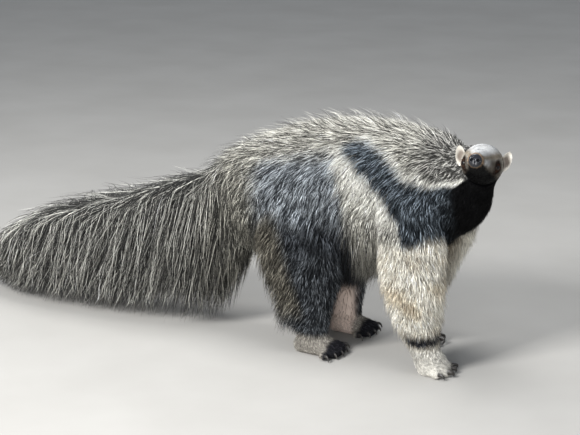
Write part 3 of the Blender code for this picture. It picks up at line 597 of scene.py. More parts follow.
def body_place(points):
    """Station, angle in degrees from the top (0 to 180), share of the skin's reach, and
    whether it is on the left, for places near the body.

    Upright rings are found by their place along X, and those of neck and head as the
    nearest middle whose ring the place lies in: the one with the least distance plus
    six times the distance off the ring's plane.
    """
    points = np.asarray(points, float)
    upright = np.interp(points[:, 0], BODY[: NECK_ROW + 1, 0], np.arange(NECK_ROW + 1.0))
    middles, alongs, _, _ = frame_at(BODY, STEP_STATIONS, UP)
    best = np.full(len(points), np.inf)
    bent = np.full(len(points), float(NECK_ROW))
    for station, middle, along in zip(STEP_STATIONS, middles, alongs):
        away = points - middle
        off = away @ along
        miss = np.abs(off) * 6 + np.linalg.norm(away, axis=1)
        better = miss < best
        best = np.where(better, miss, best)
        bent = np.where(better, station, bent)
    at = np.where((points[:, 0] < BODY[NECK_ROW, 0]) & (points[:, 1] > -0.06), upright, bent)
    at = np.where(points[:, 0] < BODY[NECK_ROW - 1, 0] - 0.02, upright, at)
    middle, along, up, left = frame_at(BODY, at, UP)
    row = smooth_rows(BODY, at)
    away = points - middle
    rise, swing = dot(away, up)[:, 0], dot(away, left)[:, 0]
    tall = rise / np.where(rise > 0, row[:, 4], row[:, 5])
    broad = swing / row[:, 6]
    angle = np.degrees(np.arctan2(np.abs(broad), tall))
    ratio = (np.abs(tall) ** row[:, 10] + np.abs(broad) ** row[:, 10]) ** (1 / row[:, 10])
    return at, angle, ratio, swing > 0


def leg_place(name, points):
    """Station, signed angle in degrees from the front (outward is positive), and share
    of the skin's reach for places near a leg."""
    table, side = LEG_TABLES[name], LEGS[name][3]
    at = np.interp(-points[:, 2], -table[:, 2], np.arange(len(table), dtype=float))
    row = smooth_rows(table, at)
    ahead, out = points[:, 0] - row[:, 0], (points[:, 1] - row[:, 1]) * side
    long = ahead / np.where(ahead > 0, row[:, 4], row[:, 5])
    broad = out / row[:, 6]
    return at, np.degrees(np.arctan2(broad, long)), np.hypot(long, broad)


def nearest(points, pair):
    """Distance from points to the nearer one of a pair of eyes or ears."""
    return np.min([np.linalg.norm(points - axes[0], axis=1) for axes in pair.values()], axis=0)


class Places:
    """Where points lie on the body, as arrays that lie, length and colour are read from.

    at, angle, ratio and left are those of body_place. legs gives each leg's weight at
    the points with their station and angle on it, and leg is the sum of those weights.
    eye and ear are the distances to the nearer eye and ear.
    """

    def __init__(self, points):
        self.points = points
        self.at, self.angle, self.ratio, self.left = body_place(points)
        # A leg has a place that is low and off the trunk's skin, or close round its foot
        by_trunk = (self.at > 9.6) & (self.at < 21.5)
        free = ease(1.00, 1.28, self.ratio) * by_trunk * ease(0.45, 0.36, points[:, 2])
        low = ease(0.120, 0.080, points[:, 2])
        shares, spots = [], []
        for name, table in LEG_TABLES.items():
            at, angle, ratio = leg_place(name, points)
            from_foot = np.linalg.norm(points[:, :2] - table[-1, :2], axis=1)
            by_foot = low * ease(0.135, 0.115, from_foot)
            shares.append(np.maximum(free * (1 - ease(1.25, 1.55, ratio)), by_foot))
            spots.append((at, angle))
        scale = 1 / np.maximum(sum(shares), 1.0)
        self.legs = {
            name: (share * scale, *spot) for name, share, spot in zip(LEG_TABLES, shares, spots)
        }
        self.leg = np.clip(sum(shares), 0, 1)
        self.eye = nearest(points, EYES)
        self.ear = nearest(points, EARS)


def curve(at, *pairs):
    """A value read from pairs of station and value, straight between them."""
    return np.interp(at, *zip(*pairs))


def speckle(points, size, seed):
    """Smooth noise of about this size, from minus one to one: sums of sines whose
    directions are drawn once from the seed."""
    draw = np.random.default_rng(seed)
    total = np.zeros(len(points))
    for _ in range(7):
        way = unit(draw.normal(size=3)) * 2 * math.pi / size * draw.uniform(0.7, 1.5)
        total += np.sin(points @ way + draw.uniform(0, 6.3))
    return total / 3.5


# Colours of the coat: the dark of its hairs, then the pale of the ticks on them, which in the black
# stripe is painted sheen
BACK = ((0.026, 0.025, 0.023), (0.86, 0.84, 0.75))
FLANK = ((0.018, 0.022, 0.028), (0.56, 0.61, 0.65))
# Dark belly, darkened further with painted shade under the trunk
BELLY_AND_SHADE = ((0.003, 0.0035, 0.0045), (0.10, 0.11, 0.13))
RUMP = ((0.020, 0.020, 0.019), (0.76, 0.74, 0.64))
NECK = ((0.026, 0.025, 0.024), (0.68, 0.67, 0.62))
NAPE = ((0.016, 0.016, 0.015), (0.60, 0.59, 0.56))
SHAG = ((0.13, 0.125, 0.11), (0.92, 0.91, 0.83))
BAND = ((0.60, 0.58, 0.52), (0.96, 0.95, 0.89))
LINE = ((0.50, 0.49, 0.44), (0.97, 0.96, 0.89))
# Black stripe: its pale is a bluish painted sheen on the black hair
STRIPE_AND_SHEEN = ((0.006, 0.009, 0.012), (0.28, 0.33, 0.38))
# Black of the throat, also used as painted shade under the head
THROAT_BLACK_AND_SHADE = ((0.0015, 0.0015, 0.0018), (0.006, 0.006, 0.0065))
TAIL = ((0.006, 0.0065, 0.008), (0.78, 0.77, 0.70))
# Painted shade at the sides of the tail's root, where it meets the trunk
TAIL_ROOT_SHADE = ((0.008, 0.008, 0.009), (0.33, 0.32, 0.28))
FORELEG = ((0.58, 0.52, 0.42), (0.95, 0.92, 0.82))
OCHRE = ((0.44, 0.33, 0.20), (0.86, 0.74, 0.54))
# Tan of the forelegs' inner side, darkened further with painted shade
INNER_ARM_AND_SHADE = ((0.10, 0.075, 0.05), (0.32, 0.27, 0.19))
BRACELET = ((0.010, 0.011, 0.015), (0.05, 0.055, 0.07))
PAW = ((0.34, 0.32, 0.28), (0.74, 0.72, 0.66))
HINDLEG = ((0.006, 0.007, 0.009), (0.16, 0.175, 0.19))
THIGH = ((0.030, 0.027, 0.022), (0.34, 0.31, 0.24))
SHIN = ((0.48, 0.38, 0.33), (0.78, 0.66, 0.58))
HIND_FOOT = ((0.09, 0.08, 0.07), (0.52, 0.49, 0.43))
TOES = ((0.010, 0.010, 0.012), (0.05, 0.05, 0.06))
FOREHEAD = ((0.28, 0.27, 0.26), (0.70, 0.71, 0.71))
# Dark of the head's sides, also used as painted shade low on them
CHEEK_AND_SHADE = ((0.045, 0.038, 0.032), (0.27, 0.24, 0.20))
CROWN = ((0.13, 0.10, 0.07), (0.40, 0.35, 0.27))
TAN = ((0.15, 0.095, 0.06), (0.46, 0.34, 0.23))
EAR = ((0.34, 0.31, 0.26), (0.62, 0.59, 0.52))
EYE_PATCH = ((0.010, 0.007, 0.006), (0.045, 0.026, 0.018))
# Colours of bare skin
EAR_BACK_SKIN = (0.58, 0.55, 0.49)
EAR_CUP_SKIN = (0.20, 0.17, 0.145)
LID = (0.032, 0.018, 0.013)
# Colours of the eyeball, from its middle out
PUPIL = (0.004, 0.003, 0.003)
IRIS = (0.012, 0.007, 0.004)
EYE_RIM = (0.10, 0.075, 0.06)
# Darkest and palest colour of what is mottled
LEATHER = ((0.004, 0.0045, 0.006), (0.014, 0.015, 0.020))
HORN = ((0.008, 0.007, 0.007), (0.045, 0.040, 0.034))
FLOOR_PAINT = ((0.34, 0.33, 0.31), (0.37, 0.36, 0.34))


def stripe_top(at):
    """Angle of the upper edge of the black stripe, from the shoulder to the throat."""
    return curve(at, (15.0, 42), (15.25, 38), (15.6, 37), (16.0, 46), (16.4, 56), (16.8, 66),
                 (17.1, 72), (17.5, 77), (18.3, 82), (19.7, 95), (20.6, 107), (21.4, 112),
                 (22.5, 122), (24.0, 132), (26.5, 128), (28.0, 128), (29.0, 122), (31.0, 110))


def stripe_bottom(at):
    """Angle of the lower edge of the black stripe, which leaves chest and throat black."""
    return curve(at, (15.0, 48), (15.25, 59), (15.5, 67), (15.93, 81), (16.5, 96), (17.1, 109),
                 (17.5, 128), (17.9, 155), (18.4, 190))


def coat_colours(place):
    """Dark and pale colour of the hairs and the share of pale hairs at these places."""
    at, angle = place.at, place.angle + 1.5 * speckle(place.points, 0.04, 3)
    dark, pale, share = *BACK, 0.50

    def paint(weight, colours, share_to):
        """Brings colours and share nearer to these by the weight at each place."""
        nonlocal dark, pale, share
        weight = np.clip(weight, 0, 1)
        dark, pale = mix(dark, colours[0], weight), mix(pale, colours[1], weight)
        share = share + (share_to - share) * weight

    # Back, flank and hip, and a dark belly made darker with painted shade
    paint(ease(44, 66, angle) * ease(11.0, 12.6, at) * (1 - ease(15.0, 15.5, at)), FLANK, 0.50)
    paint(ease(100, 130, angle) * ease(10.8, 11.8, at) * (1 - ease(15.2, 15.7, at)), BELLY_AND_SHADE, 0.34)
    paint((1 - ease(11.4, 12.8, at)) * ease(8.5, 9.5, at) * ease(20, 60, angle), RUMP, 0.42)
    # Neck: fine and greyer, darker towards the ears
    paint(ease(16.6, 18.4, at) * (1 - ease(22.6, 23.4, at)), NECK, 0.38)
    paint(ease(20.0, 21.8, at) * (1 - ease(23.0, 24.0, at)), NAPE, 0.24)
    # White band behind the stripe, and the cream line over it
    past_top = angle - stripe_top(at)
    back_edge = curve(angle, (30, 15.3), (44, 14.7), (50, 14.8), (64, 14.9), (78, 15.05),
                      (91, 15.2), (104, 15.3), (138, 15.4))
    ragged = at - back_edge + 0.14 * speckle(place.points, 0.022, 9)
    over_stripe = ease(14.7, 15.1, at) * ease(2, -2, past_top)
    band = ease(-0.16, 0.16, ragged) * ease(36, 50, angle) * (1 - over_stripe)
    paint(band, BAND, 0.90)
    paint(band * ease(72, 98, angle) * (1 - ease(15.9, 16.5, at)), SHAG, 0.80)
    paint(band * ease(0.5, 0.0, at - back_edge) * 0.5, BACK, 0.66)
    paint(band * ease(98, 122, angle) * (1 - ease(17.0, 17.6, at)), BACK, 0.62)
    line = 1.3 * bell(past_top + 3.6, 3.2) * ease(15.1, 15.9, at)
    paint(line * (1 - ease(21.4, 22.2, at)), LINE, 0.93)
    over_bottom = stripe_bottom(at) - angle
    stripe = ease(-1.6, 1.6, past_top) * ease(-1.6, 1.6, over_bottom) * ease(14.95, 15.1, at)
    # The black stripe, whose pale hairs are painted sheen
    paint(stripe, STRIPE_AND_SHEEN, 0.33)
    paint(stripe * ease(18.6, 20.4, at + 0.02 * (angle - 110)), THROAT_BLACK_AND_SHADE, 0.30)
    # Tail: dark under long pale hairs, darker at the sides of its root with painted shade where
    # tail and trunk meet
    paint(1 - ease(9.2, 10.5, at), TAIL, 0.29)
    root_side_shade = ease(7.2, 9.2, at) * (1 - ease(10.0, 11.0, at)) * ease(50, 90, angle)
    paint(root_side_shade * 0.7, TAIL_ROOT_SHADE, 0.28)
    # Legs: pale forelegs with a bracelet above the paw, dark hind legs with a bare shin
    for name, (weight, leg_at, leg_angle) in place.legs.items():
        weight = np.clip(weight * 1.4, 0, 1)
        turned = np.abs(leg_angle)
        if name.startswith("fore"):
            front = ease(75, 35, turned)
            limb = weight * ease(1.72, 2.1, leg_at - 0.30 * (1 - front))
            paint(limb, FORELEG, 0.84)
            tint = ease(-0.1, 0.9, speckle(place.points, 0.08, 8)) * ease(2.1, 3.0, leg_at)
            paint(limb * tint * 0.6, OCHRE, 0.74)
            # The inner side of each foreleg: tan, and darker still with painted shade
            inner = ease(-5, -45, leg_angle) * ease(160, 130, turned)
            paint(limb * inner * 0.8, INNER_ARM_AND_SHADE, 0.6)
            bracelet = bell(leg_at - 5.72 - 0.16 * np.sin(np.radians(leg_angle)), 0.22)
            paint(weight * bracelet * 1.8 * ease(160, 130, turned), BRACELET, 0.15)
            paint(weight * ease(6.1, 6.5, leg_at), PAW, 0.85)
        else:
            paint(weight * ease(1.3, 2.6, leg_at), HINDLEG, 0.40)
            rear = ease(95, 125, turned) * (1 - ease(4.4, 5.6, leg_at))
            paint(weight * rear * 0.8, THIGH, 0.5)
            foot, ahead = ease(6.0, 6.6, leg_at), place.points[:, 0] - LEG_TABLES[name][-1, 0]
            paint(weight * foot, HIND_FOOT, 0.75)
            inner = ease(-5, -40, leg_angle) * ease(3.9, 4.5, leg_at) * ease(160, 140, turned)
            paint(weight * inner * ease(0.045, 0.025, ahead), SHIN, 0.7)
            paint(weight * foot * ease(0.050, 0.062, ahead), TOES, 0.3)
    # Head: pale forehead, tan snout end, dark round the eyes; darker low on the sides and black
    # below, which past the throat is painted shade
    head = ease(22.9, 23.6, at)
    paint(head, FOREHEAD, 0.85)
    paint(head * ease(56, 84, angle) * (1 - ease(27.0, 29.0, at)), CHEEK_AND_SHADE, 0.55)
    # Darker low on the head's sides: painted shade
    paint(head * ease(96, 120, angle), CHEEK_AND_SHADE, 0.50)
    paint(head * bell(angle - 60, 14) * 0.95, CROWN, 0.65)
    paint(head * bell(at - 24.7, 0.35) * bell(angle - 92, 26), EAR, 0.85)
    paint(head * ease(29.7, 30.8, at), TAN, 0.70)
    # Black below the head: the throat's own black at the chin, and painted shade under jaw and
    # snout
    under = ease(22.0, 22.8, at) * ease(-14, 8, past_top)
    paint(under * (1 - 0.5 * ease(30.6, 31.2, at)), THROAT_BLACK_AND_SHADE, 0.25)
    paint(ease(0.0230, 0.0155, place.eye), EYE_PATCH, 0.4)
    paint(ease(0.0310, 0.0280, place.ear) * (at > 22) * ease(1.05, 1.12, place.ratio), EAR, 0.8)
    return dark, pale, share


def skin_colour(place, normals):
    """The skin under the hair: the mean of its hairs, darker, and bare skin at the
    ears, whose cups face the way they open, and at the lids."""
    dark, pale, share = coat_colours(place)
    colour = mix(dark, pale, share * 0.45)
    ear = ease(0.0295, 0.0265, place.ear) * (place.at > 22) * ease(1.02, 1.12, place.ratio)
    for middle, _, _, front in EARS.values():
        away = place.points - middle
        here = ear * (np.linalg.norm(away, axis=1) < 0.035)
        colour = mix(colour, EAR_BACK_SKIN, here)
        deep = ease(0.003, -0.004, away @ front)
        colour = mix(colour, EAR_CUP_SKIN, here * ease(0.1, 0.5, normals @ front) * deep)
    return mix(colour, LID, ease(0.0150, 0.0120, place.eye))


def lie(place, normals):
    """The way the hair lies at these places, along the skin.

    It runs back along head, neck and spine, ever more down over the flanks, down the
    legs, and forward over the feet.
    """
    at, angle = place.at, np.radians(place.angle)
    _, along, _, _ = frame_at(BODY, at, UP)
    flank = np.sin(np.clip(angle, 0, math.pi / 2)) ** 1.2
    slope = np.radians(8 + 64 * flank)
    slope = np.where(at > 19, slope * 0.55, slope)
    slope = np.where(at > 23, np.radians(6.0), slope)
    way = -along * np.cos(slope)[:, None] - UP * np.sin(slope)[:, None]
    stripe = ease(-4, 4, place.angle - stripe_top(at)) * ease(15, 17, at) * (at < 22.5)
    way = mix(way, unit(-along * 0.25 - UP), stripe * 0.7)
    for name, (weight, leg_at, leg_angle) in place.legs.items():
        lean = (0.12, 0.22) if name.startswith("fore") else (-0.22, 0.16)
        down = -UP + AHEAD * (lean[0] + lean[1] * np.cos(np.radians(leg_angle)))[:, None]
        foot = ease(6.2, 7.4, leg_at)
        down = mix(down, AHEAD * 0.9 - UP * 0.35, foot)
        way = mix(way, down, np.clip(weight * 1.3, 0, 1))
    for middle, reach, _, _ in EARS.values():
        away = np.linalg.norm(place.points - middle, axis=1)
        way = mix(way, reach, (away < 0.030) * (place.ratio > 1.1) * (at > 22))
    count = len(at)
    swirl = speckle(place.points, 0.11, 21) * 0.22 + speckle(place.points, 0.032, 22) * 0.24
    way = unit(way - normals * dot(way, normals))
    across = np.cross(normals, way)
    turn = swirl + RANDOM.normal(0, 0.13, count)
    return unit(way * np.cos(turn)[:, None] + across * np.sin(turn)[:, None])


def coat_depth(place):
    """Depth of the coat from the stations: up, down and side by the angle, with the
    legs' own where they stand free."""
    row = smooth_rows(BODY, place.at)
    angle = np.radians(place.angle)
    rise, swing = np.cos(angle), np.sin(angle)
    high = np.where(rise > 0, row[:, 7], np.minimum(row[:, 8], 0.05))
    depth = high * rise**2 + row[:, 9] * swing**2
    for name, (weight, leg_at, leg_angle) in place.legs.items():
        row = smooth_rows(LEG_TABLES[name], leg_at)
        turn = np.radians(leg_angle)
        ahead, out = np.cos(turn), np.sin(turn)
        own = np.where(ahead > 0, row[:, 7], row[:, 8]) * ahead**2 + row[:, 9] * out**2
        depth = depth + (own - depth) * np.clip(weight * 1.3, 0, 1)
    return depth


def tuft_mesh(name, paths, outward, width, thick, tint, roots, finish, slot):
    """Tufts as closed three-sided bodies along paths, in pieces of a fair size.

    A tuft's rings are a flat underside and a ridge; they narrow along the tuft to a
    point. Its patch in the unwrap is as wide as TUFT_PATCH, at its root's place.
    """
    count, steps = paths.shape[:2]
    along = unit(np.gradient(paths, axis=1))
    side = unit(np.cross(along, outward[:, None]))
    out = np.cross(side, along)
    shape = np.interp(np.linspace(0, 1, steps), (0, 0.3, 0.7, 1), (0.75, 1.0, 0.62, 0.0))
    half = (shape * width[:, None] / 2)[..., None]
    ridge = paths + out * half * 2 * thick
    rings = np.stack([paths - side * half, ridge, paths + side * half], 2)[:, :-1]
    points = np.concatenate([rings.reshape(count, -1, 3), paths[:, -1:]], 1)
    colours = np.concatenate([np.repeat(tint[:, :-1], 3, axis=1), tint[:, -1:]], 1)
    faces, patch = tuft_pattern(steps)
    pieces = max(1, math.ceil(count * len(faces) / MOST_TRIANGLES))
    for k, chosen in enumerate(np.array_split(np.arange(count), pieces)):
        first = np.arange(len(chosen))[:, None, None] * points.shape[1]
        corners = (faces + first).reshape(-1, 3)
        label = f"{name}_{k + 1}" if pieces > 1 else name
        piece = placed(mesh_object(label, points[chosen].reshape(-1, 3), corners), finish, slot)
        paint_points(piece, colours[chosen].reshape(-1, 3))
        chart = piece.data.uv_layers.new(name="OFBake")
        places = roots[chosen][:, None] + patch.reshape(1, -1, 2) * TUFT_PATCH
        chart.data.foreach_set("uv", places.ravel())


def tuft_pattern(steps):
    """Triangles of one tuft of this many steps, and the corners of each in its patch."""
    rings = steps - 1
    faces, patch = [(0, 1, 2)], [((0.0, 0.0), (0.5, 0.12), (1.0, 0.0))]
    for ring in range(rings - 1):
        low, high = (ring + 0.2) / (rings + 0.2), (ring + 1.2) / (rings + 0.2)
        for k in range(3):
            a, b = 3 * ring + k, 3 * ring + (k + 1) % 3
            one, two = k / 3, (k + 1) / 3
            faces += [(a, a + 3, b), (b, a + 3, b + 3)]
            patch += [((one, low), (one, high), (two, low)), ((two, low), (one, high), (two, high))]
    low = (rings - 0.8) / (rings + 0.2)
    for k in range(3):
        a, b = 3 * (rings - 1) + k, 3 * (rings - 1) + (k + 1) % 3
        faces.append((a, 3 * rings, b))
        patch.append(((k / 3, low), ((k + 0.5) / 3, 1.0), ((k + 1) / 3, low)))
    return np.array(faces), np.array(patch)


def clumping(points):
    """How pale the hair of a clump is against its neighbours, from minus one to one."""
    return np.clip(speckle(points, 0.010, 41) + 0.5 * speckle(points, 0.045, 42), -1, 1)


def tuft_tints(dark, pale, share, clump, steps):
    """Colours along tufts: each is a pale or a dark hair by chance, more often pale in
    a pale clump, with a brightness of its own. A pale hair is ticked: pale in a bell
    about a place along it, and dark beyond, or pale to its tip where nearly all hairs
    are pale. Each tuft is darker towards its root: painted shade of the coat over it."""
    count = len(share)
    along = np.linspace(0, 1, steps)[None, :]
    is_pale = (RANDOM.random(count) < share + 0.9 * share * (1 - share) * clump)[:, None]
    tick = RANDOM.uniform(0.45, 1.10, (count, 1))
    solid = ease(0.70, 0.88, share)[:, None] * (0.75 + 0.25 * along)
    level = np.maximum(np.clip(1.25 * bell(along - tick, 0.42), 0, 1), solid)
    level = np.where(is_pale, level, 0.04 + 0.10 * (RANDOM.random((count, 1)) < 0.3))
    own = RANDOM.uniform(0.72, 1.15, count) * (1 + 0.28 * clump)
    # Each tuft darker towards its root: painted shade of the coat over it
    tone_and_root_shade = own[:, None, None] * (0.62 + 0.38 * ease(0.0, 0.6, along))[..., None]
    return np.clip(mix(dark, pale, level) * tone_and_root_shade, 0, 1)


def unwrap(place):
    """Places on an unwrap of the skin: tail, trunk, neck and head fill the lower half by
    station and angle, and each leg a quarter of the upper half."""
    turn = np.where(place.left, 0.5 + place.angle / 360, 0.5 - place.angle / 360)
    chart = np.stack([place.at / NOSE * 0.98 + 0.005, turn * 0.48 + 0.005], 1)
    for k, (weight, leg_at, leg_angle) in enumerate(place.legs.values()):
        own = np.stack([0.25 * k + 0.24 * (leg_angle + 180) / 360, 0.5 + 0.48 * leg_at / 9.5], 1)
        chart = np.where(weight[:, None] > 0.5, own, chart)
    return chart


def skin_arrays(skin):
    """The skin's points, triangles and point normals."""
    mesh = skin.data
    mesh.calc_loop_triangles()
    faces = vectors(mesh.loop_triangles, "vertices", np.int32)
    return vectors(mesh.vertices, "co"), faces, vectors(mesh.vertex_normals, "vector")


def grown(skin_data, weight, count):
    """Roots drawn evenly over the skin's triangles by area times weight, with normals."""
    points, faces, normals = skin_data
    first, second, third = points[faces].swapaxes(0, 1)
    area = np.linalg.norm(np.cross(second - first, third - first), axis=1)
    total = np.cumsum(area * weight[faces].mean(1))
    chosen = np.searchsorted(total, (np.arange(count) + RANDOM.random(count)) / count * total[-1])
    chosen = np.minimum(chosen, len(faces) - 1)
    one, two = RANDOM.random((2, count, 1))
    over = one + two > 1
    one, two = np.where(over, 1 - one, one), np.where(over, 1 - two, two)
    parts = (1 - one - two, one, two)
    root = sum(part * points[faces[chosen, k]] for k, part in enumerate(parts))
    normal = unit(sum(part * normals[faces[chosen, k]] for k, part in enumerate(parts)))
    return root, normal


def coat(name, skin_data, weight, count, finish, slot, width, length, lift=0.85, sink=0.0015):
    """Hair over a part of the skin.

    A tuft starts a little under the skin and runs its length along the lie. It rises
    by the coat's depth times one minus the square of what is left of the way, comes
    back down by the skin's own curve, and below the trunk hangs down. Its colours are
    those of the places 0.4 and 0.8 of the way along it, or of its root at the throat.
    """
    root, normal = grown(skin_data, weight, count)
    place = Places(root)
    way = lie(place, normal)
    depth = coat_depth(place)
    long = length(place, depth) * RANDOM.uniform(0.75, 1.2, count)
    part = np.linspace(0, 1, COAT_STEPS)[None, :, None]
    rise = (depth * lift * RANDOM.uniform(0.55, 1.08, count))[:, None, None]
    run = long[:, None, None] * part
    bend = RANDOM.normal(0, 0.10, (count, 1, 1)) * part**2 * long[:, None, None]
    around = 1 - dot(way, frame_at(BODY, place.at, UP)[1]) ** 2
    curved = (HUG * around[:, None] * (1 - place.leg[:, None, None])) * run**2
    across = np.cross(normal, way)
    sag = 0.7 * ease(80, 120, place.angle) * (1 - place.leg) * (place.at < 19) * long
    paths = (
        root[:, None]
        + way[:, None] * run
        + across[:, None] * bend
        + normal[:, None] * (rise * (1 - (1 - part) ** 2) - curved - sink)
        - UP * sag[:, None, None] * part**2
    )
    paths[..., 2] = np.maximum(paths[..., 2], HAIR_LOW)
    ahead = np.where((place.at > 21) & (place.angle > 100), 0.0, long)[:, None]
    low, high = (coat_colours(Places(root + way * ahead * share)) for share in (0.4, 0.8))
    dark, pale = (np.stack([low[k], (low[k] + high[k]) / 2, high[k]], 1) for k in (0, 1))
    tint = tuft_tints(dark, pale, (low[2] + high[2]) / 2, clumping(root), COAT_STEPS)
    broad = width * RANDOM.uniform(0.65, 1.35, count)
    tuft_mesh(name, paths, normal, broad, 0.38, tint, unwrap(place), finish, slot)


def waver(low, high, part, count):
    """A sine wave along each hair, as high as a draw from low to high."""
    height = RANDOM.uniform(low, high, (count, 1))
    pace = RANDOM.uniform(4, 9, (count, 1))
    return height * np.sin(pace * part + RANDOM.uniform(0, 6.3, (count, 1)))


def tail_coat(name, count, finish):
    """Long hair of the tail, which sweeps back and hangs as a curtain on each side.

    A hair's root is a station and an angle on the thin tail, with more below its root,
    where the curtain ends. On the way its angle turns down towards the floor, its
    place slides back, and its share of the coat's depth climbs with the way's 0.7
    power. A few hairs go over the top, and all waver a little.
    """
    at = RANDOM.uniform(0.4, TAIL_ROOT + 0.7, count)
    angle = RANDOM.uniform(-180, 180, count)
    curtain = RANDOM.random(count) < CURTAIN_SHARE
    at = np.where(curtain, RANDOM.uniform(8.7, TAIL_ROOT + 0.7, count), at)
    angle = np.where(curtain, np.where(angle < 0, -1, 1) * RANDOM.uniform(100, 180, count), angle)
    first = np.abs(angle)
    hang = np.where(first < 120, 88 + first * 0.62, 162 + (first - 120) * 0.30)
    over_top = RANDOM.random(count) < OVER_TOP_SHARE * (first < 50)
    hang = np.where(over_top, first + RANDOM.uniform(5, 45, count), hang)
    hang = np.clip(hang + RANDOM.normal(0, 9, count), 0, 179)
    part = np.linspace(0, 1, TAIL_STEPS)[None, :]
    long, short = RANDOM.uniform(0.8, 1.25, count), RANDOM.uniform(0.45, 1.0, count)
    reach = np.where(curtain, long, short**0.6)
    sweep = curve(first, (0, 0.15), (60, 0.11), (110, 0.075), (180, 0.05))
    sweep = sweep * RANDOM.uniform(0.35, 1.6, count)
    sweep = np.where(over_top, sweep * 1.15, sweep) * (1 - 0.8 * ease(8.4, 10.2, at))
    start = np.interp(at, np.arange(NECK_ROW + 1.0), BODY[: NECK_ROW + 1, 0])
    room = start - BODY[0, 0]
    sweep = np.minimum(sweep, room * RANDOM.uniform(0.75, 1.0, count))
    reach = reach * (1 - ease(0.10, 0.0, room - sweep) * RANDOM.uniform(0.0, 0.9, count))
    loose = np.minimum(part * 3, 1)
    wander = RANDOM.normal(0, 0.035, (count, 1)) * part + waver(0.004, 0.016, part, count)
    slide = start[:, None] - sweep[:, None] * part**1.1 + wander * loose
    stations = np.interp(slide, BODY[: NECK_ROW + 1, 0], np.arange(NECK_ROW + 1.0))
    stations = np.maximum(stations, 0.02)
    side = np.where(angle < 0, -1, 1)[:, None]
    turned = (first[:, None] + (hang - first)[:, None] * part**1.35) * side
    turned = turned + waver(2.0, 8.0, part, count) * loose
    share = reach[:, None] * part**0.70 - 0.02 * (part == 0)
    paths = surface(BODY, UP, stations, np.radians(turned), share)
    paths = paths + UP * (RANDOM.normal(0, 0.004, (count, 1)) * part)[..., None]
    paths[..., 2] = np.maximum(paths[..., 2], HAIR_LOW + 0.010 * RANDOM.random((count, 1)))
    middle = frame_at(BODY, at, UP)[0]
    outward = unit(paths[:, 2] - middle)
    place = Places(paths[:, 0])
    place.at, place.angle = at, first
    place.left = angle > 0
    dark, pale, share = coat_colours(place)
    clump = speckle(np.stack([slide[:, 2], turned[:, 2] * 0.002, paths[:, 2, 2]], 1), 0.020, 43)
    share = share * (1.15 - 0.45 * ease(0.08, 0.30, paths[:, 3, 2]))
    tint = tuft_tints(dark[:, None], pale[:, None], share, clump, TAIL_STEPS)
    broad = COAT_WIDTH * RANDOM.uniform(0.6, 1.6, count)
    tuft_mesh(name, paths, outward, broad, 0.4, tint, unwrap(place), finish, "dark_coat")


def new_finish(name, roughness, specular):
    """A new finish with its nodes and its shader."""
    made = bpy.data.materials.new(name)
    made.use_nodes = True
    shader = made.node_tree.nodes["Principled BSDF"]
    shader.inputs["Roughness"].default_value = roughness
    shader.inputs["Specular IOR Level"].default_value = specular
    return made, made.node_tree, shader


def grain_over(tree, shader, scale, detail, bump, height, stretch=(1, 1, 1)):
    """Noise over the piece, stretched along its axes, which raises the shader's surface
    by bump times the height. Returns the noise."""
    place = tree.nodes.new("ShaderNodeTexCoord")
    stretched = tree.nodes.new("ShaderNodeMapping")
    stretched.inputs["Scale"].default_value = stretch
    tree.links.new(place.outputs["Object"], stretched.inputs["Vector"])
    grain = tree.nodes.new("ShaderNodeTexNoise")
    grain.inputs["Scale"].default_value = scale
    grain.inputs["Detail"].default_value = detail
    tree.links.new(stretched.outputs["Vector"], grain.inputs["Vector"])
    raised = tree.nodes.new("ShaderNodeBump")
    raised.inputs["Strength"].default_value = bump
    raised.inputs["Distance"].default_value = height
    tree.links.new(grain.outputs["Fac"], raised.inputs["Height"])
    tree.links.new(raised.outputs["Normal"], shader.inputs["Normal"])
    return grain


def tint_finish(name, roughness, specular, bump=0.0, scale=1.0):
    """A finish that takes its colour from the piece's tint, with fine bump if any."""
    made, tree, shader = new_finish(name, roughness, specular)
    tint = tree.nodes.new("ShaderNodeAttribute")
    tint.attribute_name = "tint"
    tree.links.new(tint.outputs["Color"], shader.inputs["Base Color"])
    if bump:
        grain_over(tree, shader, scale, 4.0, bump, 0.001)
    return made


def noise_finish(name, low, high, scale, roughness, specular, bump, stretch=(1, 1, 1)):
    """A finish whose colour runs between two by noise over the piece, with bump."""
    made, tree, shader = new_finish(name, roughness, specular)
    grain = grain_over(tree, shader, scale, 6.0, bump, 0.0006, stretch)
    ramp = tree.nodes.new("ShaderNodeValToRGB")
    for stop, position, colour in zip(ramp.color_ramp.elements, (0.3, 0.7), (low, high)):
        stop.position = position
        stop.color = (*colour, 1)
    tree.links.new(grain.outputs["Fac"], ramp.inputs["Fac"])
    tree.links.new(ramp.outputs["Color"], shader.inputs["Base Color"])
    return made


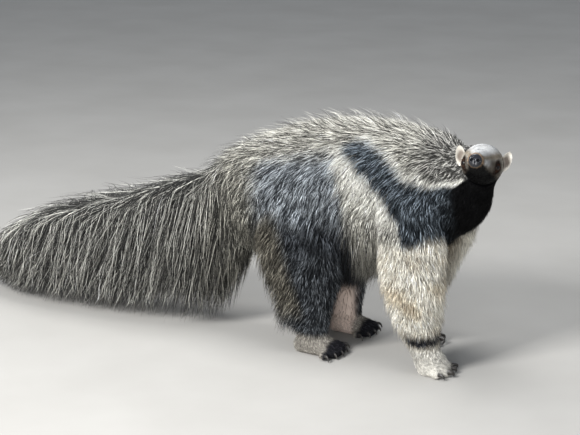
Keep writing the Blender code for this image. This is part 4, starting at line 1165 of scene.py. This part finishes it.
def nose_pad():
    """The leathery end of the snout: a blunt pad with a short stem inside the skin.

    From rim to middle, how far out is the cosine and how far forward the sine of the
    way, both to the power of 0.72, so it is flatter than a ball. Two nostrils and the
    groove between them are pressed into it.
    """
    middle, along, up, left = head_place(0.0070, 0, 0)
    way = np.linspace(0.0, math.pi / 2 - 0.03, 46)[:, None, None]
    stem = np.linspace(1.0, 0.04, 8)[:, None, None]
    out = np.concatenate([PAD_RADIUS * (1 - 0.18 * stem), PAD_RADIUS * np.cos(way) ** 0.72])
    ahead = np.concatenate([-0.010 * stem, 0.0076 * np.sin(way) ** 0.72])
    angle = ring_angles(96)[..., None]
    high, wide = (out * np.cos(angle))[..., 0], (out * np.sin(angle))[..., 0]
    press = 0.0008 * bell(wide, 0.0009) * (high < 0.004)
    for side in (1, -1):
        off = np.hypot((wide - side * 0.0074) / 0.0031, (high - 0.0006) / 0.0034)
        slant = np.clip((side * wide - 0.0074) / 0.0031, -1, 1)
        press = press + 0.0054 * np.exp(-(off**4)) * (1 + 0.5 * slant)
        press = press - 0.0004 * bell(off - 1.6, 0.5)
    deep = ahead[..., 0] - press * (ahead[..., 0] > 0)
    points = middle + up * high[..., None] + left * wide[..., None] + along * deep[..., None]
    return mesh_object("nose_pad", *tube_arrays(points))


def eyeball(side, word):
    """An eye: a ball with a slightly raised front, dark but for its edge."""
    middle, look, across, up = EYES[side]
    radii = (EYE_RADIUS * 1.03, EYE_RADIUS, EYE_RADIUS)
    ball = ball_arrays(middle, radii, (look, across, up), 48, 36)
    made = mesh_object("eyeball_" + word, *ball)
    off = unit(vectors(made.data.vertices, "co") - middle) @ look
    colour = mix(IRIS, PUPIL, ease(0.86, 0.90, off))
    paint_points(made, mix(colour, EYE_RIM, ease(0.62, 0.52, off)))
    return made


def claw_horn(name, root, knee, tip, radius):
    """A claw: circles along a bend of three points, flattened at the sides, narrowing
    with the 0.7 power of what is left of the way, with a shallow ridge along the top."""
    part = np.linspace(0.0, 1.0, 22)[:, None]
    path = root * (1 - part) ** 2 + knee * 2 * part * (1 - part) + tip * part**2
    along = unit(np.gradient(path, axis=0))
    side = unit(np.cross(UP, along))
    top = np.cross(along, side)
    size = (radius * (1 - part) ** 0.7 * (1 + 0.1 * part) + 0.0005)[:, :, None]
    angle = ring_angles(20)[..., None]
    ridge = 1 + 0.07 * np.abs(np.cos(1.5 * angle))
    points = path[:, None] + size * ridge * (
        top[:, None] * np.cos(angle) * 1.15 + side[:, None] * np.sin(angle) * 0.8)
    points[..., 2] = np.maximum(points[..., 2], CLAW_LOW)
    return mesh_object(name, *tube_arrays(points))


def claws():
    """All claws with the CAD node that each replaces."""
    for name, (_, _, _, side) in LEGS.items():
        fore = name.startswith("fore")
        for k, (place, way, size) in enumerate(toes(name)):
            node = f"{name.replace('leg', 'claw')}_{k + 1}"
            across = np.array((-way[1], way[0], 0.0))
            if fore:
                root = place + way * 0.012 * size + UP * 0.002
                knee = place + way * (0.022 + 0.018 * size) + UP * (0.006 * size)
                tip = place + way * (0.010 + 0.017 * size) - across * side * 0.012 * size
                radius = 0.0052 * size
            else:
                root = place + way * 0.009 * size + UP * 0.001
                knee = place + way * 0.025 * size + UP * 0.007
                tip = place + way * 0.029 * size
                radius = 0.0040 * size
            tip[2] = 0.0015
            yield claw_horn("horn_" + node, root, knee, tip, radius), node


# The skin and its small parts
own_piece = ("claw", "eye", "nose")
flesh = [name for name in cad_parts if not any(word in name for word in own_piece)]
hide = tint_finish("bare_hide", roughness=0.90, specular=0.0, bump=0.35, scale=900.0)
skin = placed(made_skin(), hide, "bare_skin", *flesh)
skin_data = skin_arrays(skin)
skin_place = Places(skin_data[0])
paint_points(skin, skin_colour(skin_place, skin_data[2]))

leather = noise_finish("nose_leather", *LEATHER, 900.0, roughness=0.20, specular=0.5, bump=0.30)
placed(nose_pad(), leather, "nose_leather", "nose")
eye_finish = tint_finish("eye_gloss", roughness=0.03, specular=0.28)
for side, word in ((1, "left"), (-1, "right")):
    placed(eyeball(side, word), eye_finish, "eye_gloss", "eye_" + word)
horn = noise_finish(
    "claw_horn", *HORN, 260.0, roughness=0.42, specular=0.5, bump=0.3, stretch=(1, 5, 5))
for piece, node in claws():
    placed(piece, horn, "claw_horn", node)

# Where each kind of hair grows: its share of the hair at each of the skin's points
at, angle, height = skin_place.at, skin_place.angle, skin_data[0][:, 2]
legs = skin_place.legs
on_leg = skin_place.leg > 0.5
on_foreleg = np.maximum(legs["fore_leg_left"][0], legs["fore_leg_right"][0]) > 0.5
on_foot = on_leg & (height < 0.055)
on_face = at > FACE_FROM
on_ear = (skin_place.ear < 0.031) & (skin_place.ratio > 1.12) & on_face
ear_hair = on_ear & (np.max([skin_data[2] @ front for _, _, _, front in EARS.values()], axis=0) < 0)
under_chin = (at > 21.9) & (angle > 105)
furred = (on_face | under_chin) & ~on_ear & (skin_place.eye > 0.0118) & (at < 31.6)
face_hair = furred * (1.0 + 1.2 * (at > 24.5) + 1.0 * (at < 24.0) * (angle > 90))
on_trunk = (at > TRUNK_FROM) & ~on_face & ~on_leg & (at < NECK_FROM)
on_neck = (at >= NECK_FROM) & ~on_face & ~on_leg
stray_hair = on_trunk * ease(95, 60, angle) + 0.6 * on_neck * (at < 21) * ease(60, 40, angle)
bare_shin = np.maximum(*(
    weight * (leg_angle < -25) * (leg_angle > -145) * (leg_at > 4.1)
    for weight, leg_at, leg_angle in (legs["hind_leg_left"], legs["hind_leg_right"])
))
fore_hair = on_foreleg & on_leg & ~on_foot
hind_hair = (on_leg & ~on_foreleg & ~on_foot) * (1 - 0.9 * bare_shin)
foot_hair = on_foot & (height > 0.006)


def trunk_length(place, depth):
    """Trunk hair: longer than the coat is deep, longest on the lower edge of the band."""
    return 0.75 * depth + 0.014 + 0.055 * bell(place.at - 15.3, 0.8) * ease(75, 110, place.angle)


def hind_length(place, depth):
    """Hair of the hind legs: shorter towards the foot."""
    return depth * (1.05 - 0.45 * ease(0.24, 0.12, place.points[:, 2])) + 0.011


def face_length(place, depth):
    """Hair of the face: short, and a little longer towards the neck."""
    return 0.0070 + 0.0035 * (place.at < 25) + depth * 0.4


def plain_length(share, least):
    """A length of this share of the coat's depth, plus the least."""
    return lambda place, depth: share * depth + least


# Name, where it grows, tufts, slot, width and length, then lift and sink if not coat's own
COATS = (
    ("coat_trunk", on_trunk, 56000, "dark_coat", COAT_WIDTH, trunk_length),
    ("coat_strays", stray_hair, 2200, "pale_coat", 0.0011, plain_length(1.5, 0.018), 1.35),
    ("coat_neck", on_neck, 17000, "pale_coat", 0.0015, plain_length(0.8, 0.009)),
    ("coat_fore_legs", fore_hair, 15000, "pale_coat", COAT_WIDTH, plain_length(1.05, 0.011)),
    ("coat_hind_legs", hind_hair, 13000, "dark_coat", COAT_WIDTH, hind_length),
    ("coat_feet", foot_hair, 7500, "dark_coat", 0.0012, plain_length(0.7, 0.007), 0.6, 0.0008),
    ("coat_face", face_hair, 13500, "pale_coat", 0.0011, face_length, 0.5, 0.0006),
    ("coat_ears", ear_hair, 1300, "pale_coat", 0.0006, plain_length(0.0, 0.0035), 0.4, 0.0003),
)
hair = tint_finish("hair", roughness=0.60, specular=0.08)
for name, where, count, slot, width, length, *rise in COATS:
    coat(name, skin_data, 1.0 * where, count, hair, slot, width, length, *rise)
tail_coat("coat_tail", 15000, hair)


def floor():
    """A plain pale floor, wide enough to fill the view."""
    half = 40.0
    corners = [(x * half, y * half, 0.0) for x, y in ((-1, -1), (1, -1), (1, 1), (-1, 1))]
    made = mesh_object("floor", corners, [(0, 1, 2, 3)])
    paint = noise_finish("floor_paint", *FLOOR_PAINT, 3.0, roughness=0.85, specular=0.2, bump=0.0)
    made.data.materials.append(paint)


def stood(name, data, place, right, up, back):
    """An object at a place that faces against back, with its own right and up."""
    made = bpy.data.objects.new(name, data)
    bpy.context.scene.collection.objects.link(made)
    rows = [(*row, spot) for row, spot in zip(np.stack([right, up, back], 1), place)]
    made.matrix_world = Matrix(rows + [(0, 0, 0, 1)])
    return made


def camera():
    """The camera at the photograph's viewing angle: from the front right and above."""
    turn, rise = math.radians(CAMERA_TURN), math.radians(CAMERA_RISE)
    level = np.array((math.sin(turn), -math.cos(turn), 0.0))
    back = level * math.cos(rise) + UP * math.sin(rise)
    right = np.array((math.cos(turn), math.sin(turn), 0.0))
    data = bpy.data.cameras.new("camera")
    data.lens = CAMERA_LENS
    data.sensor_width = 36.0
    place = np.array(CAMERA_AIM) + back * CAMERA_AWAY
    bpy.context.scene.camera = stood("camera", data, place, right, np.cross(back, right), back)


def lamp(name, place, target, size, power):
    """A soft square lamp that faces a target."""
    data = bpy.data.lights.new(name, "AREA")
    data.size = size
    data.energy = power
    back = unit(np.array(place, float) - np.array(target, float))
    # The hint leans a little, so that it isn't in line with a lamp that faces down
    right = unit(np.cross(UP + 1e-3 * AHEAD, back))
    stood(name, data, place, right, np.cross(back, right), back)


def sky():
    """An even pale surround."""
    world = bpy.data.worlds.new("surround")
    bpy.context.scene.world = world
    world.use_nodes = True
    world.node_tree.nodes["Background"].inputs["Color"].default_value = (0.80, 0.86, 0.95, 1)
    world.node_tree.nodes["Background"].inputs["Strength"].default_value = 0.52
    bpy.context.scene.view_settings.view_transform = "Standard"


floor()
camera()
lamp("key", (-0.9, -3.0, 2.7), (0.1, 0.0, 0.3), size=1.2, power=270)
lamp("top", (0.0, 0.3, 3.8), (0.0, 0.0, 0.3), size=1.8, power=100)
lamp("fill", (1.9, -4.2, 1.0), (0.1, 0.0, 0.2), size=1.6, power=90)
sky()
